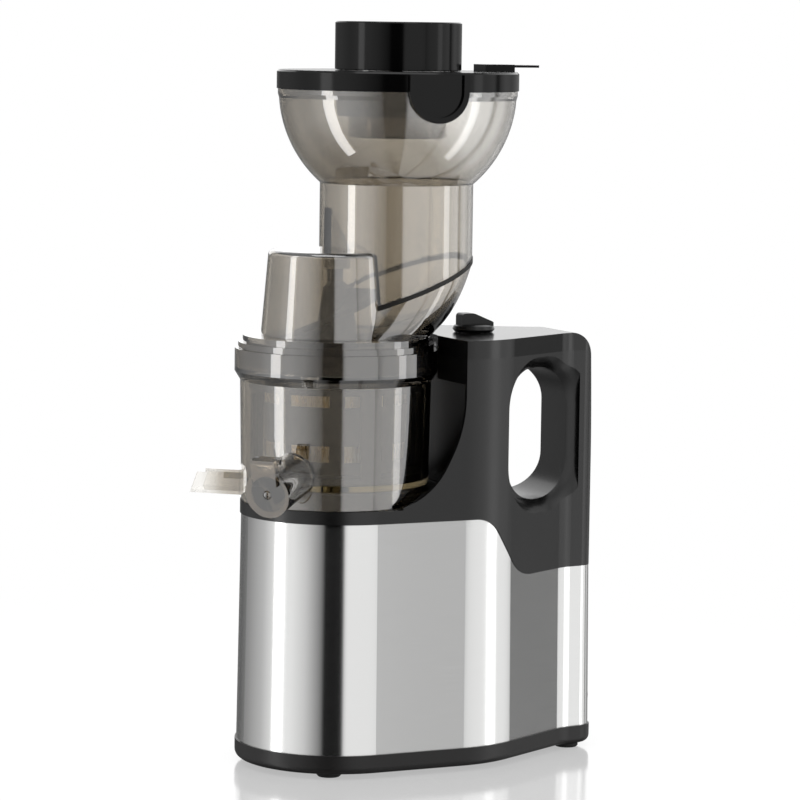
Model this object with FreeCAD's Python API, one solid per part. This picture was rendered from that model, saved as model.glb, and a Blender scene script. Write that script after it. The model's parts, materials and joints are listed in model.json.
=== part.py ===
"""Upright cold press juicer with a steel base, a smoked drum and a wide bowl hopper.

Lengths are millimetres and angles degrees. The origin is on the drum axis at the
table, +Z is up, -Y is the front where the juice runs out, +Y is the handle.
Each function returns one piece, and main() writes every piece to its own file.
"""
import FreeCAD
import Part
import math
import os

from FreeCAD import Vector

# General wall and gap sizes
WALL = 2.8                      # moulded housing wall
CLEAR_WALL = 2.8                # smoked plastic wall
SEAT_GAP = 0.3                  # between pieces that lift off each other
RUN_GAP = 0.06                  # radial gap of a shaft in its bearing

# Base outline, seen from above
HALF_WIDTH = 65.5
FRONT_REACH = 63.0              # drum axis to the front of the base
SIDE_LENGTH = 86.0              # drum axis to the bend of the side
SIDE_BEND_RADIUS = 80.0
NECK_HALF_WIDTH = 26.0
NECK_RUN = 72.0                 # from the bend of the side to the neck
NECK_RADIUS = 30.0
REAR_HALF_WIDTH = 22.5
REAR_LENGTH = 26.0              # from the neck to the rear face
REAR_CORNER_RADIUS = 13.0

# Base heights and skins
FOOT_HEIGHT = 3.0
TRAY_HEIGHT = 12.6
TRAY_PROUD = 1.0
TRAY_EDGE_RADIUS = 5.0
WRAP_HEIGHT = 150.0
WRAP_DRAFT = 1.9                # each side, from the tray to the top
WRAP_THICKNESS = 0.8
WRAP_STEP_DROP = 41.1           # the steel is lower at the rear
WRAP_STEP_RUN = 12.5            # from the bend of the side to the middle of the step
WRAP_STEP_SLOPE = 57.0
WRAP_STEP_RADIUS = 22.0
HOUSING_INSET = 1.2
PLATFORM_RISE = 8.4             # black band between the steel and the drum
COLUMN_LEAN = 6.5               # the rear face leans forwards to the top
COLUMN_CORNER_RADIUS = 17.0
COLUMN_WRAP = 1.9               # the column's face reaches this far round the collar
SWEEP_RUN = 26.5                # foot of the swept edge to the column's face
SWEEP_SLOPE = 63.0
SWEEP_LOW_RADIUS = 50.0
SWEEP_HIGH_RADIUS = 84.0
COVER_THICKNESS = 12.0
COVER_EDGE_RADIUS = 2.0
HEAD_OVERLAP = 4.3              # the column's head reaches below the drum collar
POCKET_DEPTH = 7.0
RECESS_GAP = 1.0                # between the drum collar and the column

# Handle hole through the column
HANDLE_LENGTH = 55.0
HANDLE_HEIGHT = 88.0
HANDLE_GRIP = 23.0              # rear bar of the handle
HANDLE_ROOF = 22.0              # column above the hole
HANDLE_RADIUS = 26.0
HANDLE_FLARE = 8.0
HANDLE_FLARE_DEPTH = 11.0

# Drum
DRUM_RADIUS = 62.7
DRUM_TAPER = 1.4                # smaller at the bottom
COLLAR_PROUD = 3.7
COLLAR_RISE = 84.3              # platform to the foot of the collar
COLLAR_HEIGHT = 16.0
DRUM_FLOOR_RISE = 16.0
DRUM_FLOOR_THICKNESS = 3.5
GASKET_RADIUS = 9.4

# Lid, hat and elbow
LID_STEP_INSET = 2.2            # from the collar
LID_DECK_INSET = 5.2            # from the collar
LID_STEP_HEIGHT = 3.7
LID_DECK_HEIGHT = 4.4
LID_SKIRT_DEPTH = 10.0
THROAT_RADIUS = 45.5
HAT_CENTRE = -5.0
HAT_HEIGHT = 55.8
HAT_TOP_RADIUS = 40.6
HAT_LOW_RADIUS = 45.0
HAT_EDGE_RADIUS = 3.5
SEAM_TILT = 20.9
SEAM_THICKNESS = 3.0
SEAM_RISE = 30.5                # lid deck to the seam, on the hopper axis
BUSH_HEIGHT = 9.0
BUSH_OUTER_RADIUS = 6.5
BUSH_SEAT_RADIUS = 8.8
BRIDGE_LENGTH = 22.0            # from the bush into the hat's top

# Hopper and its cover
HOPPER_AXIS = 42.0
CHUTE_RADIUS = 50.4
BOWL_RADIUS = 81.0
BOWL_CENTRE = -3.0              # the bowl's arc is struck from beyond the axis
HOPPER_HEIGHT = 160.1           # above the lid deck
RIM_PROUD = 0.6
RIM_HEIGHT = 3.0
RIB_LENGTH = 14.6
RIB_HEIGHT = 30.0
RIB_HALF_WIDTH = 5.0
COVER_OVERHANG = 0.8
COVER_HEIGHT = 12.3
COVER_WALL = 2.5
COVER_BORE = 37.4
COVER_SKIRT = 17.5
COVER_LIP_DEPTH = 4.0
LUG_RADIUS = 20.0
LUG_PROUD = 3.4
LUG_BORDER = 3.6
LUG_ANGLE = -6.0
TAB_HALF_WIDTH = 9.0
TAB_LENGTH = 19.6               # beyond the cover
TAB_ROOT = 20.0
TAB_THICKNESS = 1.6
TAB_RISE = 4.6

# Pusher
PUSHER_RADIUS = 41.5
PUSHER_HEIGHT = 31.5
PUSHER_WALL = 2.5
STEM_RADIUS = 32.5
STEM_DEPTH = 43.5
STEM_GUIDE_DEPTH = 22.0

# Spout, its cap and the pulp chute
SPOUT_ANGLE = -50.0
SPOUT_SLOPE = 13.0
SPOUT_RADIUS = 15.0
SPOUT_WALL = 2.6
STUB_LENGTH = 0.5               # of the drum's wall under the spout and the chute
SPOUT_RISE = 5.8                # drum floor to the axis at the drum wall
SPOUT_LENGTH = 31.3
SPOUT_TROUGH = 16.7             # the bore starts this far inside the drum wall
CAP_RADIUS = 15.4
CAP_THICKNESS = 3.0
CAP_BOSS_RADIUS = 3.3
PLUG_DEPTH = 2.5
HINGE_RISE = 5.6                # hinge pin above the spout
HINGE_BACK = 3.0                # hinge pin behind the spout's mouth
HINGE_PIN_RADIUS = 1.5
HINGE_EAR_RADIUS = 3.0
HINGE_EAR_WIDTH = 3.0
HINGE_HALF_WIDTH = 8.5
PULP_ANGLE = -132.0
PULP_HALF_WIDTH = 13.0
PULP_CLEARANCE = 1.6            # chute above the platform
PULP_HEIGHT = 16.4
PULP_LENGTH = 34.8
PULP_WALL = 2.0
PULP_OPEN_LENGTH = 12.0         # open top at the end
PULP_END_LEAN = 20.0

# Strainer, brush and auger
STRAINER_GAP = 5.4              # strainer to the brush posts
STRAINER_TAPER = 2.0
STRAINER_WALL = 2.2
STRAINER_HEIGHT = 60.4
STRAINER_FLOOR_THICKNESS = 2.0
STRAINER_RIM = 3.0
WINDOW_COUNT = 8
WINDOW_SPAN = 33.0
WINDOW_RISES = ((8.4, 18.9), (44.1, 56.4))
MESH_THICKNESS = 0.6
BRUSH_GAP = 1.7                 # brush frame to the drum wall
BRUSH_POST = 3.4
BRUSH_POST_SPAN = 14.0
BRUSH_DROP = 4.0                # below the strainer's rim
BRUSH_RING = 4.0
WIPER_COUNT = 4
WIPER_GAP = 0.4
WIPER_SPAN = 2.0
AUGER_GAP = 0.8
AUGER_DROP = 16.5               # screw ends this far below the hat's top
AUGER_PIN_RADIUS = 4.0
AUGER_FOOT_RADIUS = 33.0
AUGER_NECK_RADIUS = 9.0
WING_RADIUS = 31.0
FINE_PITCH = 26.0
FINE_THICKNESS = 3.6
COARSE_PITCH = 84.0
COARSE_THICKNESS = 4.5
INSERT_RADIUS = 8.0
PULP_HOLE_RADIUS = 5.2
NOZZLE_WALL = 1.3

# Drive train
GEAR_DEPTH = 4.4                # thickness of the three small gears in the drum
GEAR_MODULE = 1.25
AUGER_TEETH = 20
IDLER_TEETH = 14
IDLER_PIN_RADIUS = 2.5
FAST_MODULE = 0.9
MOTOR_TEETH = 14
WHEEL_TEETH = 56
SLOW_TEETH = 14
OUTPUT_TEETH = 49
BACKLASH = 0.16
SLOW_GEAR_WIDTH = 10.0
FAST_GEAR_WIDTH = 7.0
GEAR_SPACE = 3.0                # between the slow and the fast gears
SHAFT_RADIUS = 6.0
HEX_FLATS = 10.0
HEX_GAP = 0.12
HEX_LENGTH = 36.0
MOTOR_AXIS = 62.0
MOTOR_RADIUS = 40.0
MOTOR_LENGTH = 80.0
MOTOR_WALL = 2.0
MOTOR_SHAFT_RADIUS = 4.0
MOTOR_BEARING_RADIUS = 11.0
CORE_LENGTH = 42.0
ROTOR_RADIUS = 23.2
ROTOR_GAP = 0.7
WINDING_HEIGHT = 11.0
FAN_SPACE = 4.0
FAN_HEIGHT = 12.0
FAN_RADIUS = 34.0
FAN_HUB_RADIUS = 9.0
FAN_BLADES = 9
GEARBOX_RADIUS = 46.0
GEARBOX_REAR = 28.0
GEARBOX_HEIGHT = 34.0
GEARBOX_WALL = 2.5
GEARBOX_LID = 4.0
GEARBOX_POST_RADIUS = 5.0
GEARBOX_POST_LENGTH = 7.2
COUNTER_SHAFT_RADIUS = 4.0
DRIVE_BEARING_RADIUS = 10.5
BUSH_RADIUS = 7.0
BEARING_DEPTH = 5.0
HUB_RADIUS = 12.5
HUB_RISE = 4.5
SEAL_RADIUS = 9.5
SEAL_DEPTH = 6.0

# Knob and its switch
KNOB_RUN = 35.5                 # column's face to the knob
KNOB_RADIUS = 14.2
KNOB_DISC = 5.0
KNOB_GRIP = 7.5
KNOB_GRIP_HALF_WIDTH = 5.0
SPINDLE_RADIUS = 3.0
SPINDLE_DEPTH = 12.5
SWITCH_HEIGHT = 14.0
SWITCH_HALF_WIDTH = 11.0

# Screws, feet, vents, circuit board and the cord inlet
SCREW_RADIUS = 1.8
SCREW_HEAD_RADIUS = 3.6
SCREW_HEAD_HEIGHT = 2.4
SCREW_BITE = 12.0
SCREW_SINK = 6.0                # heads stand this far inside the tray
BOSS_RADIUS = 5.0
BOSS_SPLIT = 40.0               # where the tray's bosses meet the housing's
BOSS_INSET = 13.5
BOSS_REAR_INSET = 42.0
FOOT_RADIUS = 8.0
FOOT_PIN_RADIUS = 3.0
FOOT_INSET = 19.5
FOOT_REAR_INSET = 16.0
VENT_ROWS = 6
VENT_PITCH = 8.0
VENT_REACH = 30.0
VENT_WIDTH = 3.0
INLET_RISE = 17.4               # above the tray
INLET_RADIUS = 7.0
CORD_RADIUS = 3.6
BOARD_RISE = 6.4                # above the tray
BOARD_THICKNESS = 1.6
BOARD_HALF_WIDTH = 22.0
BOARD_LENGTH = 27.0
BOARD_POST_RADIUS = 3.0
BOARD_INSET = 5.0

# Places that follow from the sizes above, from the rear to the front
NECK_REACH = SIDE_LENGTH + NECK_RUN
REAR_REACH = NECK_REACH + REAR_LENGTH
COLUMN_TOP_REACH = REAR_REACH - COLUMN_LEAN
WRAP_STEP_REACH = SIDE_LENGTH + WRAP_STEP_RUN
HANDLE_REAR = REAR_REACH - HANDLE_GRIP
HANDLE_FRONT = HANDLE_REAR - HANDLE_LENGTH
COLLAR_RADIUS = DRUM_RADIUS + COLLAR_PROUD
RECESS_RADIUS = COLLAR_RADIUS + RECESS_GAP
COLUMN_FRONT = COLLAR_RADIUS - COLUMN_WRAP
SWEEP_START = COLUMN_FRONT - SWEEP_RUN
KNOB_AXIS = COLUMN_FRONT + KNOB_RUN
MOTOR_SPOT = (0.0, MOTOR_AXIS)
BOARD_FRONT = MOTOR_AXIS + MOTOR_RADIUS + FAN_SPACE
BOARD_REAR = BOARD_FRONT + BOARD_LENGTH

# Heights that follow, from the table up
TRAY_TOP = FOOT_HEIGHT + TRAY_HEIGHT
WRAP_TOP = TRAY_TOP + WRAP_HEIGHT
WRAP_REAR_TOP = WRAP_TOP - WRAP_STEP_DROP
PLATFORM_HEIGHT = WRAP_TOP + PLATFORM_RISE
DRUM_BOTTOM = PLATFORM_HEIGHT + SEAT_GAP
DRUM_FLOOR = PLATFORM_HEIGHT + DRUM_FLOOR_RISE
COLLAR_LOW = PLATFORM_HEIGHT + COLLAR_RISE
COLLAR_TOP = COLLAR_LOW + COLLAR_HEIGHT
LID_BOTTOM = COLLAR_TOP + SEAT_GAP
LID_STEP_TOP = LID_BOTTOM + LID_STEP_HEIGHT
LID_DECK = LID_STEP_TOP + LID_DECK_HEIGHT
COLUMN_TOP = LID_DECK - SEAT_GAP
COVER_SEAM = COLUMN_TOP - COVER_THICKNESS
HEAD_UNDERSIDE = COLLAR_LOW - HEAD_OVERLAP
HANDLE_HIGH = COLUMN_TOP - HANDLE_ROOF
HANDLE_LOW = HANDLE_HIGH - HANDLE_HEIGHT
HAT_TOP = LID_DECK + HAT_HEIGHT
BUSH_TOP = HAT_TOP - CLEAR_WALL - SEAT_GAP
BUSH_LOW = BUSH_TOP - BUSH_HEIGHT
AUGER_TOP = HAT_TOP - AUGER_DROP
SEAM_HEIGHT = LID_DECK + SEAM_RISE
HOPPER_TOP = LID_DECK + HOPPER_HEIGHT
COVER_BOTTOM = HOPPER_TOP + SEAT_GAP
COVER_TOP = COVER_BOTTOM + COVER_HEIGHT
HUB_TOP = PLATFORM_HEIGHT + HUB_RISE
GEARBOX_TOP = PLATFORM_HEIGHT - WALL - GEARBOX_POST_LENGTH - GEARBOX_LID
MOTOR_TOP = GEARBOX_TOP - GEARBOX_HEIGHT
MOTOR_LOW = MOTOR_TOP - MOTOR_LENGTH
CORE_LOW = (MOTOR_LOW + MOTOR_TOP - CORE_LENGTH) / 2
CORE_HIGH = CORE_LOW + CORE_LENGTH
FAN_HIGH = MOTOR_LOW - FAN_SPACE
FAN_LOW = FAN_HIGH - FAN_HEIGHT
SLOW_GEAR_LOW = MOTOR_TOP + BEARING_DEPTH + 1.0
SLOW_GEAR_HIGH = SLOW_GEAR_LOW + SLOW_GEAR_WIDTH
FAST_GEAR_LOW = SLOW_GEAR_HIGH + GEAR_SPACE
FAST_GEAR_HIGH = FAST_GEAR_LOW + FAST_GEAR_WIDTH
GEAR_LOW = DRUM_FLOOR + SEAT_GAP
GEAR_HIGH = GEAR_LOW + GEAR_DEPTH
STRAINER_FLOOR = GEAR_HIGH + 3 * SEAT_GAP
STRAINER_TOP = STRAINER_FLOOR + STRAINER_HEIGHT
BRUSH_TOP = STRAINER_TOP - BRUSH_DROP
HEX_TOP = DRUM_FLOOR + HEX_LENGTH
PULP_LOW = PLATFORM_HEIGHT + PULP_CLEARANCE
PULP_HIGH = PULP_LOW + PULP_HEIGHT
SPOUT_HEIGHT = DRUM_FLOOR + SPOUT_RISE
SWITCH_SOCKET = COLUMN_TOP - SPINDLE_DEPTH
INLET_HEIGHT = TRAY_TOP + INLET_RISE
BOARD_LOW = TRAY_TOP + BOARD_RISE
SCREW_SEAT = FOOT_HEIGHT + SCREW_SINK

# Radii and reaches that follow, from the drum inwards
LID_STEP_RADIUS = COLLAR_RADIUS - LID_STEP_INSET
LID_DECK_RADIUS = COLLAR_RADIUS - LID_DECK_INSET
SKIRT_RADIUS = COLLAR_RADIUS - CLEAR_WALL - SEAT_GAP
DRUM_INNER_LOW = DRUM_RADIUS - DRUM_TAPER - CLEAR_WALL
BRUSH_RADIUS = DRUM_INNER_LOW - BRUSH_GAP
STRAINER_RADIUS = BRUSH_RADIUS - BRUSH_POST - STRAINER_GAP
STRAINER_LOW_RADIUS = STRAINER_RADIUS - STRAINER_TAPER
SPOUT_ROOT = DRUM_RADIUS - SPOUT_TROUGH
SPOUT_REACH = DRUM_RADIUS + SPOUT_LENGTH
PULP_REACH = DRUM_RADIUS + PULP_LENGTH
IDLER_REACH = GEAR_MODULE * (AUGER_TEETH + IDLER_TEETH) / 2
RING_TEETH = AUGER_TEETH + 2 * IDLER_TEETH
PULP_HOLE_REACH = IDLER_REACH
BOWL_REACH = BOWL_RADIUS + BOWL_CENTRE
RIM_RADIUS = BOWL_REACH + RIM_PROUD
COVER_RADIUS = RIM_RADIUS + COVER_OVERHANG
FAST_CENTRES = FAST_MODULE * (MOTOR_TEETH + WHEEL_TEETH) / 2
SLOW_CENTRES = GEAR_MODULE * (SLOW_TEETH + OUTPUT_TEETH) / 2
COUNTER_Y = (SLOW_CENTRES ** 2 - FAST_CENTRES ** 2 + MOTOR_AXIS ** 2) / (2 * MOTOR_AXIS)
COUNTER_X = math.sqrt(SLOW_CENTRES ** 2 - COUNTER_Y ** 2)
COUNTER_AXIS = (COUNTER_X, COUNTER_Y)

# Spots of the screws and feet
BOSS_SPOTS = (
    (BOSS_INSET - HALF_WIDTH, 20.0),
    (HALF_WIDTH - BOSS_INSET, 20.0),
    (-16.0, REAR_REACH - BOSS_REAR_INSET),
    (16.0, REAR_REACH - BOSS_REAR_INSET),
)
FOOT_SPOTS = (
    (FOOT_INSET - HALF_WIDTH, -22.0),
    (HALF_WIDTH - FOOT_INSET, -22.0),
    (-14.0, REAR_REACH - FOOT_REAR_INSET),
    (14.0, REAR_REACH - FOOT_REAR_INSET),
)
GEARBOX_SPOTS = ((-34.0, 10.0), (34.0, 10.0), (-34.0, 50.0), (34.0, 50.0))
UP = Vector(0, 0, 1)


# Basic shapes
def cylinder(radius, low, high, centre=(0.0, 0.0)):
    return Part.makeCylinder(radius, high - low, Vector(centre[0], centre[1], low))


def tube(outer, inner, low, high, centre=(0.0, 0.0)):
    return cylinder(outer, low, high, centre).cut(cylinder(inner, low - 1, high + 1, centre))


def block(x_range, y_range, z_range):
    corner = Vector(x_range[0], y_range[0], z_range[0])
    size = (x_range[1] - x_range[0], y_range[1] - y_range[0], z_range[1] - z_range[0])
    return Part.makeBox(size[0], size[1], size[2], corner)


def turned(profile, centre=(0.0, 0.0), angle=360.0):
    """Solid of revolution about a vertical axis.

    The profile holds (radius, height) corners; a pair of corners is the middle and
    the end of an arc from the corner before it.
    """
    def place(point):
        return Vector(point[0], 0, point[1])

    edges = []
    here = profile[0]
    for item in profile[1:] + [profile[0]]:
        if isinstance(item[0], tuple):
            middle, end = item
            edges.append(Part.Arc(place(here), place(middle), place(end)).toShape())
        else:
            end = item
            edges.append(Part.makeLine(place(here), place(end)))
        here = end
    solid = Part.Face(Part.Wire(edges)).revolve(Vector(0, 0, 0), UP, angle)
    solid.translate(Vector(centre[0], centre[1], 0))
    return solid


def ring_sector(outer, inner, low, high, start, span):
    """Part of a tube about the drum axis, from one plan angle over a span."""
    sector = turned([(inner, low), (outer, low), (outer, high), (inner, high)], angle=span)
    return spun(sector, start)


def spun(shape, angle, centre=(0.0, 0.0)):
    copy = shape.copy()
    copy.rotate(Vector(centre[0], centre[1], 0), UP, angle)
    return copy


def moved(shape, x=0.0, y=0.0, z=0.0):
    copy = shape.copy()
    copy.translate(Vector(x, y, z))
    return copy


def joined(shapes):
    first = shapes[0]
    return first.multiFuse(shapes[1:]).removeSplitter()


def grown(corners, grow):
    """Offset a counter-clockwise outline of (a, b, corner radius) outwards."""
    result = []
    count = len(corners)
    for index, (a, b, radius) in enumerate(corners):
        before = corners[index - 1]
        after = corners[(index + 1) % count]
        into = (a - before[0], b - before[1])
        out = (after[0] - a, after[1] - b)
        n_in = (into[1] / math.hypot(*into), -into[0] / math.hypot(*into))
        n_out = (out[1] / math.hypot(*out), -out[0] / math.hypot(*out))
        share = grow / (1 + n_in[0] * n_out[0] + n_in[1] * n_out[1])
        turn = into[0] * out[1] - into[1] * out[0]
        bend = radius
        if radius > 0:
            bend = radius + grow if turn > 0 else radius - grow
        result.append((a + (n_in[0] + n_out[0]) * share, b + (n_in[1] + n_out[1]) * share, bend))
    return result


def rounded_wire(corners, place):
    """Closed wire through (a, b, radius) corners; place turns (a, b) into a point."""
    stops = []
    count = len(corners)
    for index, (a, b, radius) in enumerate(corners):
        before = corners[index - 1]
        after = corners[(index + 1) % count]
        into = Vector(a - before[0], b - before[1], 0).normalize()
        out = Vector(after[0] - a, after[1] - b, 0).normalize()
        half_turn = into.getAngle(out) / 2
        reach = radius * math.tan(half_turn)
        corner = Vector(a, b, 0)
        middle = corner
        if radius > 0:
            inward = (out - into).normalize()
            middle = corner + inward * (radius / math.cos(half_turn) - radius)
        stops.append((corner - into * reach, middle, corner + out * reach))
    edges = []
    for index, (first, middle, last) in enumerate(stops):
        if (last - first).Length > 1e-6:
            arc = Part.Arc(place(first.x, first.y), place(middle.x, middle.y), place(last.x, last.y))
            edges.append(arc.toShape())
        following = stops[(index + 1) % count][0]
        if (following - last).Length > 1e-6:
            edges.append(Part.makeLine(place(last.x, last.y), place(following.x, following.y)))
    return Part.Wire(edges)


def mirrored_corners(right_half):
    """Whole outline from its right half, listed front to rear."""
    return right_half + [(-x, y, radius) for x, y, radius in reversed(right_half)]


def base_corners():
    return mirrored_corners([
        (HALF_WIDTH, -FRONT_REACH, HALF_WIDTH),
        (HALF_WIDTH, SIDE_LENGTH, SIDE_BEND_RADIUS),
        (NECK_HALF_WIDTH, NECK_REACH, NECK_RADIUS),
        (REAR_HALF_WIDTH, REAR_REACH, REAR_CORNER_RADIUS),
    ])


def base_outline(grow, height):
    return rounded_wire(grown(base_corners(), grow), lambda x, y: Vector(x, y, height))


def base_prism(grow, low, high):
    return Part.Face(base_outline(grow, low)).extrude(Vector(0, 0, high - low))


def side_prism(corners, half_width=150.0):
    """Solid with an outline of (y, z, radius) corners, as wide as the base."""
    wire = rounded_wire(corners, lambda y, z: Vector(-half_width, y, z))
    return Part.Face(wire).extrude(Vector(2 * half_width, 0, 0))


def slope_run(rise, slope):
    return rise / math.tan(math.radians(slope))


# Base
def tray():
    shell = base_prism(TRAY_PROUD, FOOT_HEIGHT, TRAY_TOP)
    low_edges = [edge for edge in shell.Edges if edge.BoundBox.ZMax < FOOT_HEIGHT + 0.01]
    shell = shell.makeFillet(TRAY_EDGE_RADIUS, low_edges)
    floor = FOOT_HEIGHT + WALL
    shell = shell.cut(base_prism(-WALL - WRAP_THICKNESS, floor, TRAY_TOP + 1))
    rim_grow = -WRAP_THICKNESS - SEAT_GAP
    rim = base_prism(rim_grow, TRAY_TOP - 6, TRAY_TOP + 6).cut(
        base_prism(rim_grow - WALL, TRAY_TOP - 7, TRAY_TOP + 7))
    posts = [cylinder(BOSS_RADIUS, floor - 1, BOSS_SPLIT, spot) for spot in BOSS_SPOTS]
    board_x = BOARD_HALF_WIDTH - BOARD_INSET
    board_spots = [(x, y) for x in (-board_x, board_x)
                   for y in (BOARD_FRONT + BOARD_INSET, BOARD_REAR - BOARD_INSET)]
    board_posts = [cylinder(BOARD_POST_RADIUS, floor - 1, BOARD_LOW, spot) for spot in board_spots]
    shell = joined([shell, rim] + posts + board_posts)
    slots = []
    for row in range(-VENT_ROWS // 2, VENT_ROWS // 2 + 1):
        y = MOTOR_AXIS + row * VENT_PITCH
        length = math.sqrt(VENT_REACH ** 2 - (row * VENT_PITCH) ** 2)
        half = VENT_WIDTH / 2
        slots.append(block((-length, length), (y - half, y + half), (0, floor + 1)))
    holes = [cylinder(SCREW_RADIUS, 0, BOSS_SPLIT + 1, spot) for spot in BOSS_SPOTS]
    sinks = [cylinder(SCREW_HEAD_RADIUS + 0.5, 0, SCREW_SEAT, spot) for spot in BOSS_SPOTS]
    seats = [cylinder(FOOT_PIN_RADIUS, 0, floor + 1, spot) for spot in FOOT_SPOTS]
    return shell.cut(Part.makeCompound(slots + holes + sinks + seats))


def feet():
    pads = []
    for spot in FOOT_SPOTS:
        pad = turned([(0, 0), (FOOT_RADIUS - 1, 0), (FOOT_RADIUS, 1), (FOOT_RADIUS, FOOT_HEIGHT),
                      (FOOT_PIN_RADIUS, FOOT_HEIGHT), (FOOT_PIN_RADIUS, FOOT_HEIGHT + WALL + 1),
                      (0, FOOT_HEIGHT + WALL + 1)], spot)
        pads.append(pad)
    return Part.makeCompound(pads)


def wrap_keep():
    """Side outline that keeps the steel: level at the front, stepped down to the rear."""
    run = slope_run(WRAP_TOP - WRAP_REAR_TOP, WRAP_STEP_SLOPE) / 2
    return side_prism([
        (-FRONT_REACH - 20, TRAY_TOP, 0),
        (REAR_REACH + 20, TRAY_TOP, 0),
        (REAR_REACH + 20, WRAP_REAR_TOP, 0),
        (WRAP_STEP_REACH + run, WRAP_REAR_TOP, WRAP_STEP_RADIUS),
        (WRAP_STEP_REACH - run, WRAP_TOP, WRAP_STEP_RADIUS),
        (-FRONT_REACH - 20, WRAP_TOP, 0),
    ])


def steel_wrap():
    def drafted(inset):
        low = base_outline(-inset, TRAY_TOP)
        high = base_outline(-inset - WRAP_DRAFT, WRAP_TOP)
        return Part.makeLoft([low, high], True, True)

    skin = drafted(0).cut(drafted(WRAP_THICKNESS)).common(wrap_keep())
    return skin.cut(inlet_hole())


def inlet_hole():
    axis = Vector(0, REAR_REACH - 20, INLET_HEIGHT)
    return Part.makeCylinder(INLET_RADIUS, 40, axis, Vector(0, 1, 0))


def column_corners(sunk=0.0):
    """Side outline of the housing; sunk lowers its open underside."""
    step = slope_run(WRAP_TOP - WRAP_REAR_TOP, WRAP_STEP_SLOPE) / 2
    bend_rise = (COLUMN_FRONT - SWEEP_START) * math.tan(math.radians(SWEEP_SLOPE))
    return [
        (-FRONT_REACH - 20, WRAP_TOP - sunk, 0),
        (WRAP_STEP_REACH - step, WRAP_TOP - sunk, WRAP_STEP_RADIUS),
        (WRAP_STEP_REACH + step, WRAP_REAR_TOP - sunk, WRAP_STEP_RADIUS),
        (REAR_REACH + 1, WRAP_REAR_TOP - sunk, 0),
        (COLUMN_TOP_REACH, COLUMN_TOP, COLUMN_CORNER_RADIUS),
        (COLUMN_FRONT, COLUMN_TOP, 0),
        (COLUMN_FRONT, PLATFORM_HEIGHT + bend_rise, SWEEP_HIGH_RADIUS),
        (SWEEP_START, PLATFORM_HEIGHT, SWEEP_LOW_RADIUS),
        (-FRONT_REACH - 20, PLATFORM_HEIGHT, 0),
    ]


def handle_corners(grow):
    return grown([
        (HANDLE_FRONT, HANDLE_LOW, HANDLE_RADIUS),
        (HANDLE_REAR, HANDLE_LOW, HANDLE_RADIUS),
        (HANDLE_REAR, HANDLE_HIGH, HANDLE_RADIUS),
        (HANDLE_FRONT, HANDLE_HIGH, HANDLE_RADIUS),
    ], grow)


def handle_hole(grow):
    """Rounded slot through the column with a flared mouth in each slanted side."""
    slot = side_prism(handle_corners(grow), 100)
    run = (HALF_WIDTH - NECK_HALF_WIDTH, NECK_REACH - SIDE_LENGTH)
    along = math.hypot(*run)
    cosine = run[1] / along
    middle_y = (HANDLE_FRONT + HANDLE_REAR) / 2
    middle_x = HALF_WIDTH - HOUSING_INSET - (middle_y - SIDE_LENGTH) * run[0] / run[1]
    half_length = (HANDLE_REAR - HANDLE_FRONT) / 2 / cosine
    half_height = (HANDLE_HIGH - HANDLE_LOW) / 2
    middle_z = (HANDLE_HIGH + HANDLE_LOW) / 2
    direction = Vector(-run[0] / along, run[1] / along, 0)
    outward = Vector(run[1] / along, run[0] / along, 0)
    middle = Vector(middle_x, middle_y, middle_z)

    def section(depth, flare):
        half_a = half_length + flare + grow
        half_b = half_height + flare + grow
        radius = HANDLE_RADIUS + flare + grow
        corners = [(-half_a, -half_b, radius), (half_a, -half_b, radius),
                   (half_a, half_b, radius), (-half_a, half_b, radius)]
        origin = middle - outward * depth
        return rounded_wire(corners, lambda a, b: origin + direction * a + UP * b)

    shares = ((-0.35, 1.55), (0.0, 1.0), (0.3, 0.45), (0.65, 0.1), (1.0, -0.15))
    sections = [section(HANDLE_FLARE_DEPTH * depth, HANDLE_FLARE * flare) for depth, flare in shares]
    mouth = Part.makeLoft(sections, True, False)
    far_mouth = mouth.mirror(Vector(0, 0, 0), Vector(1, 0, 0))
    return slot, mouth, far_mouth


def drum_recess(grow):
    """Space that the drum and its collar need, and the shallow hollow behind it."""
    span = HALF_WIDTH - WALL
    radius = (span ** 2 + POCKET_DEPTH ** 2) / (2 * POCKET_DEPTH)
    recess = cylinder(RECESS_RADIUS + grow, PLATFORM_HEIGHT - grow, COLUMN_TOP + 20)
    pocket_y = COLUMN_FRONT + POCKET_DEPTH - radius
    pocket = cylinder(radius + grow, PLATFORM_HEIGHT - grow, HEAD_UNDERSIDE + grow, (0, pocket_y))
    side = side_prism([
        (COLUMN_FRONT - 40, PLATFORM_HEIGHT + 10, 0), (REAR_REACH, PLATFORM_HEIGHT + 10, 0),
        (REAR_REACH, HEAD_UNDERSIDE + 20, 0), (COLUMN_FRONT - 40, HEAD_UNDERSIDE + 20, 0)], span - 1)
    return recess.fuse(pocket.common(side))


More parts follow.
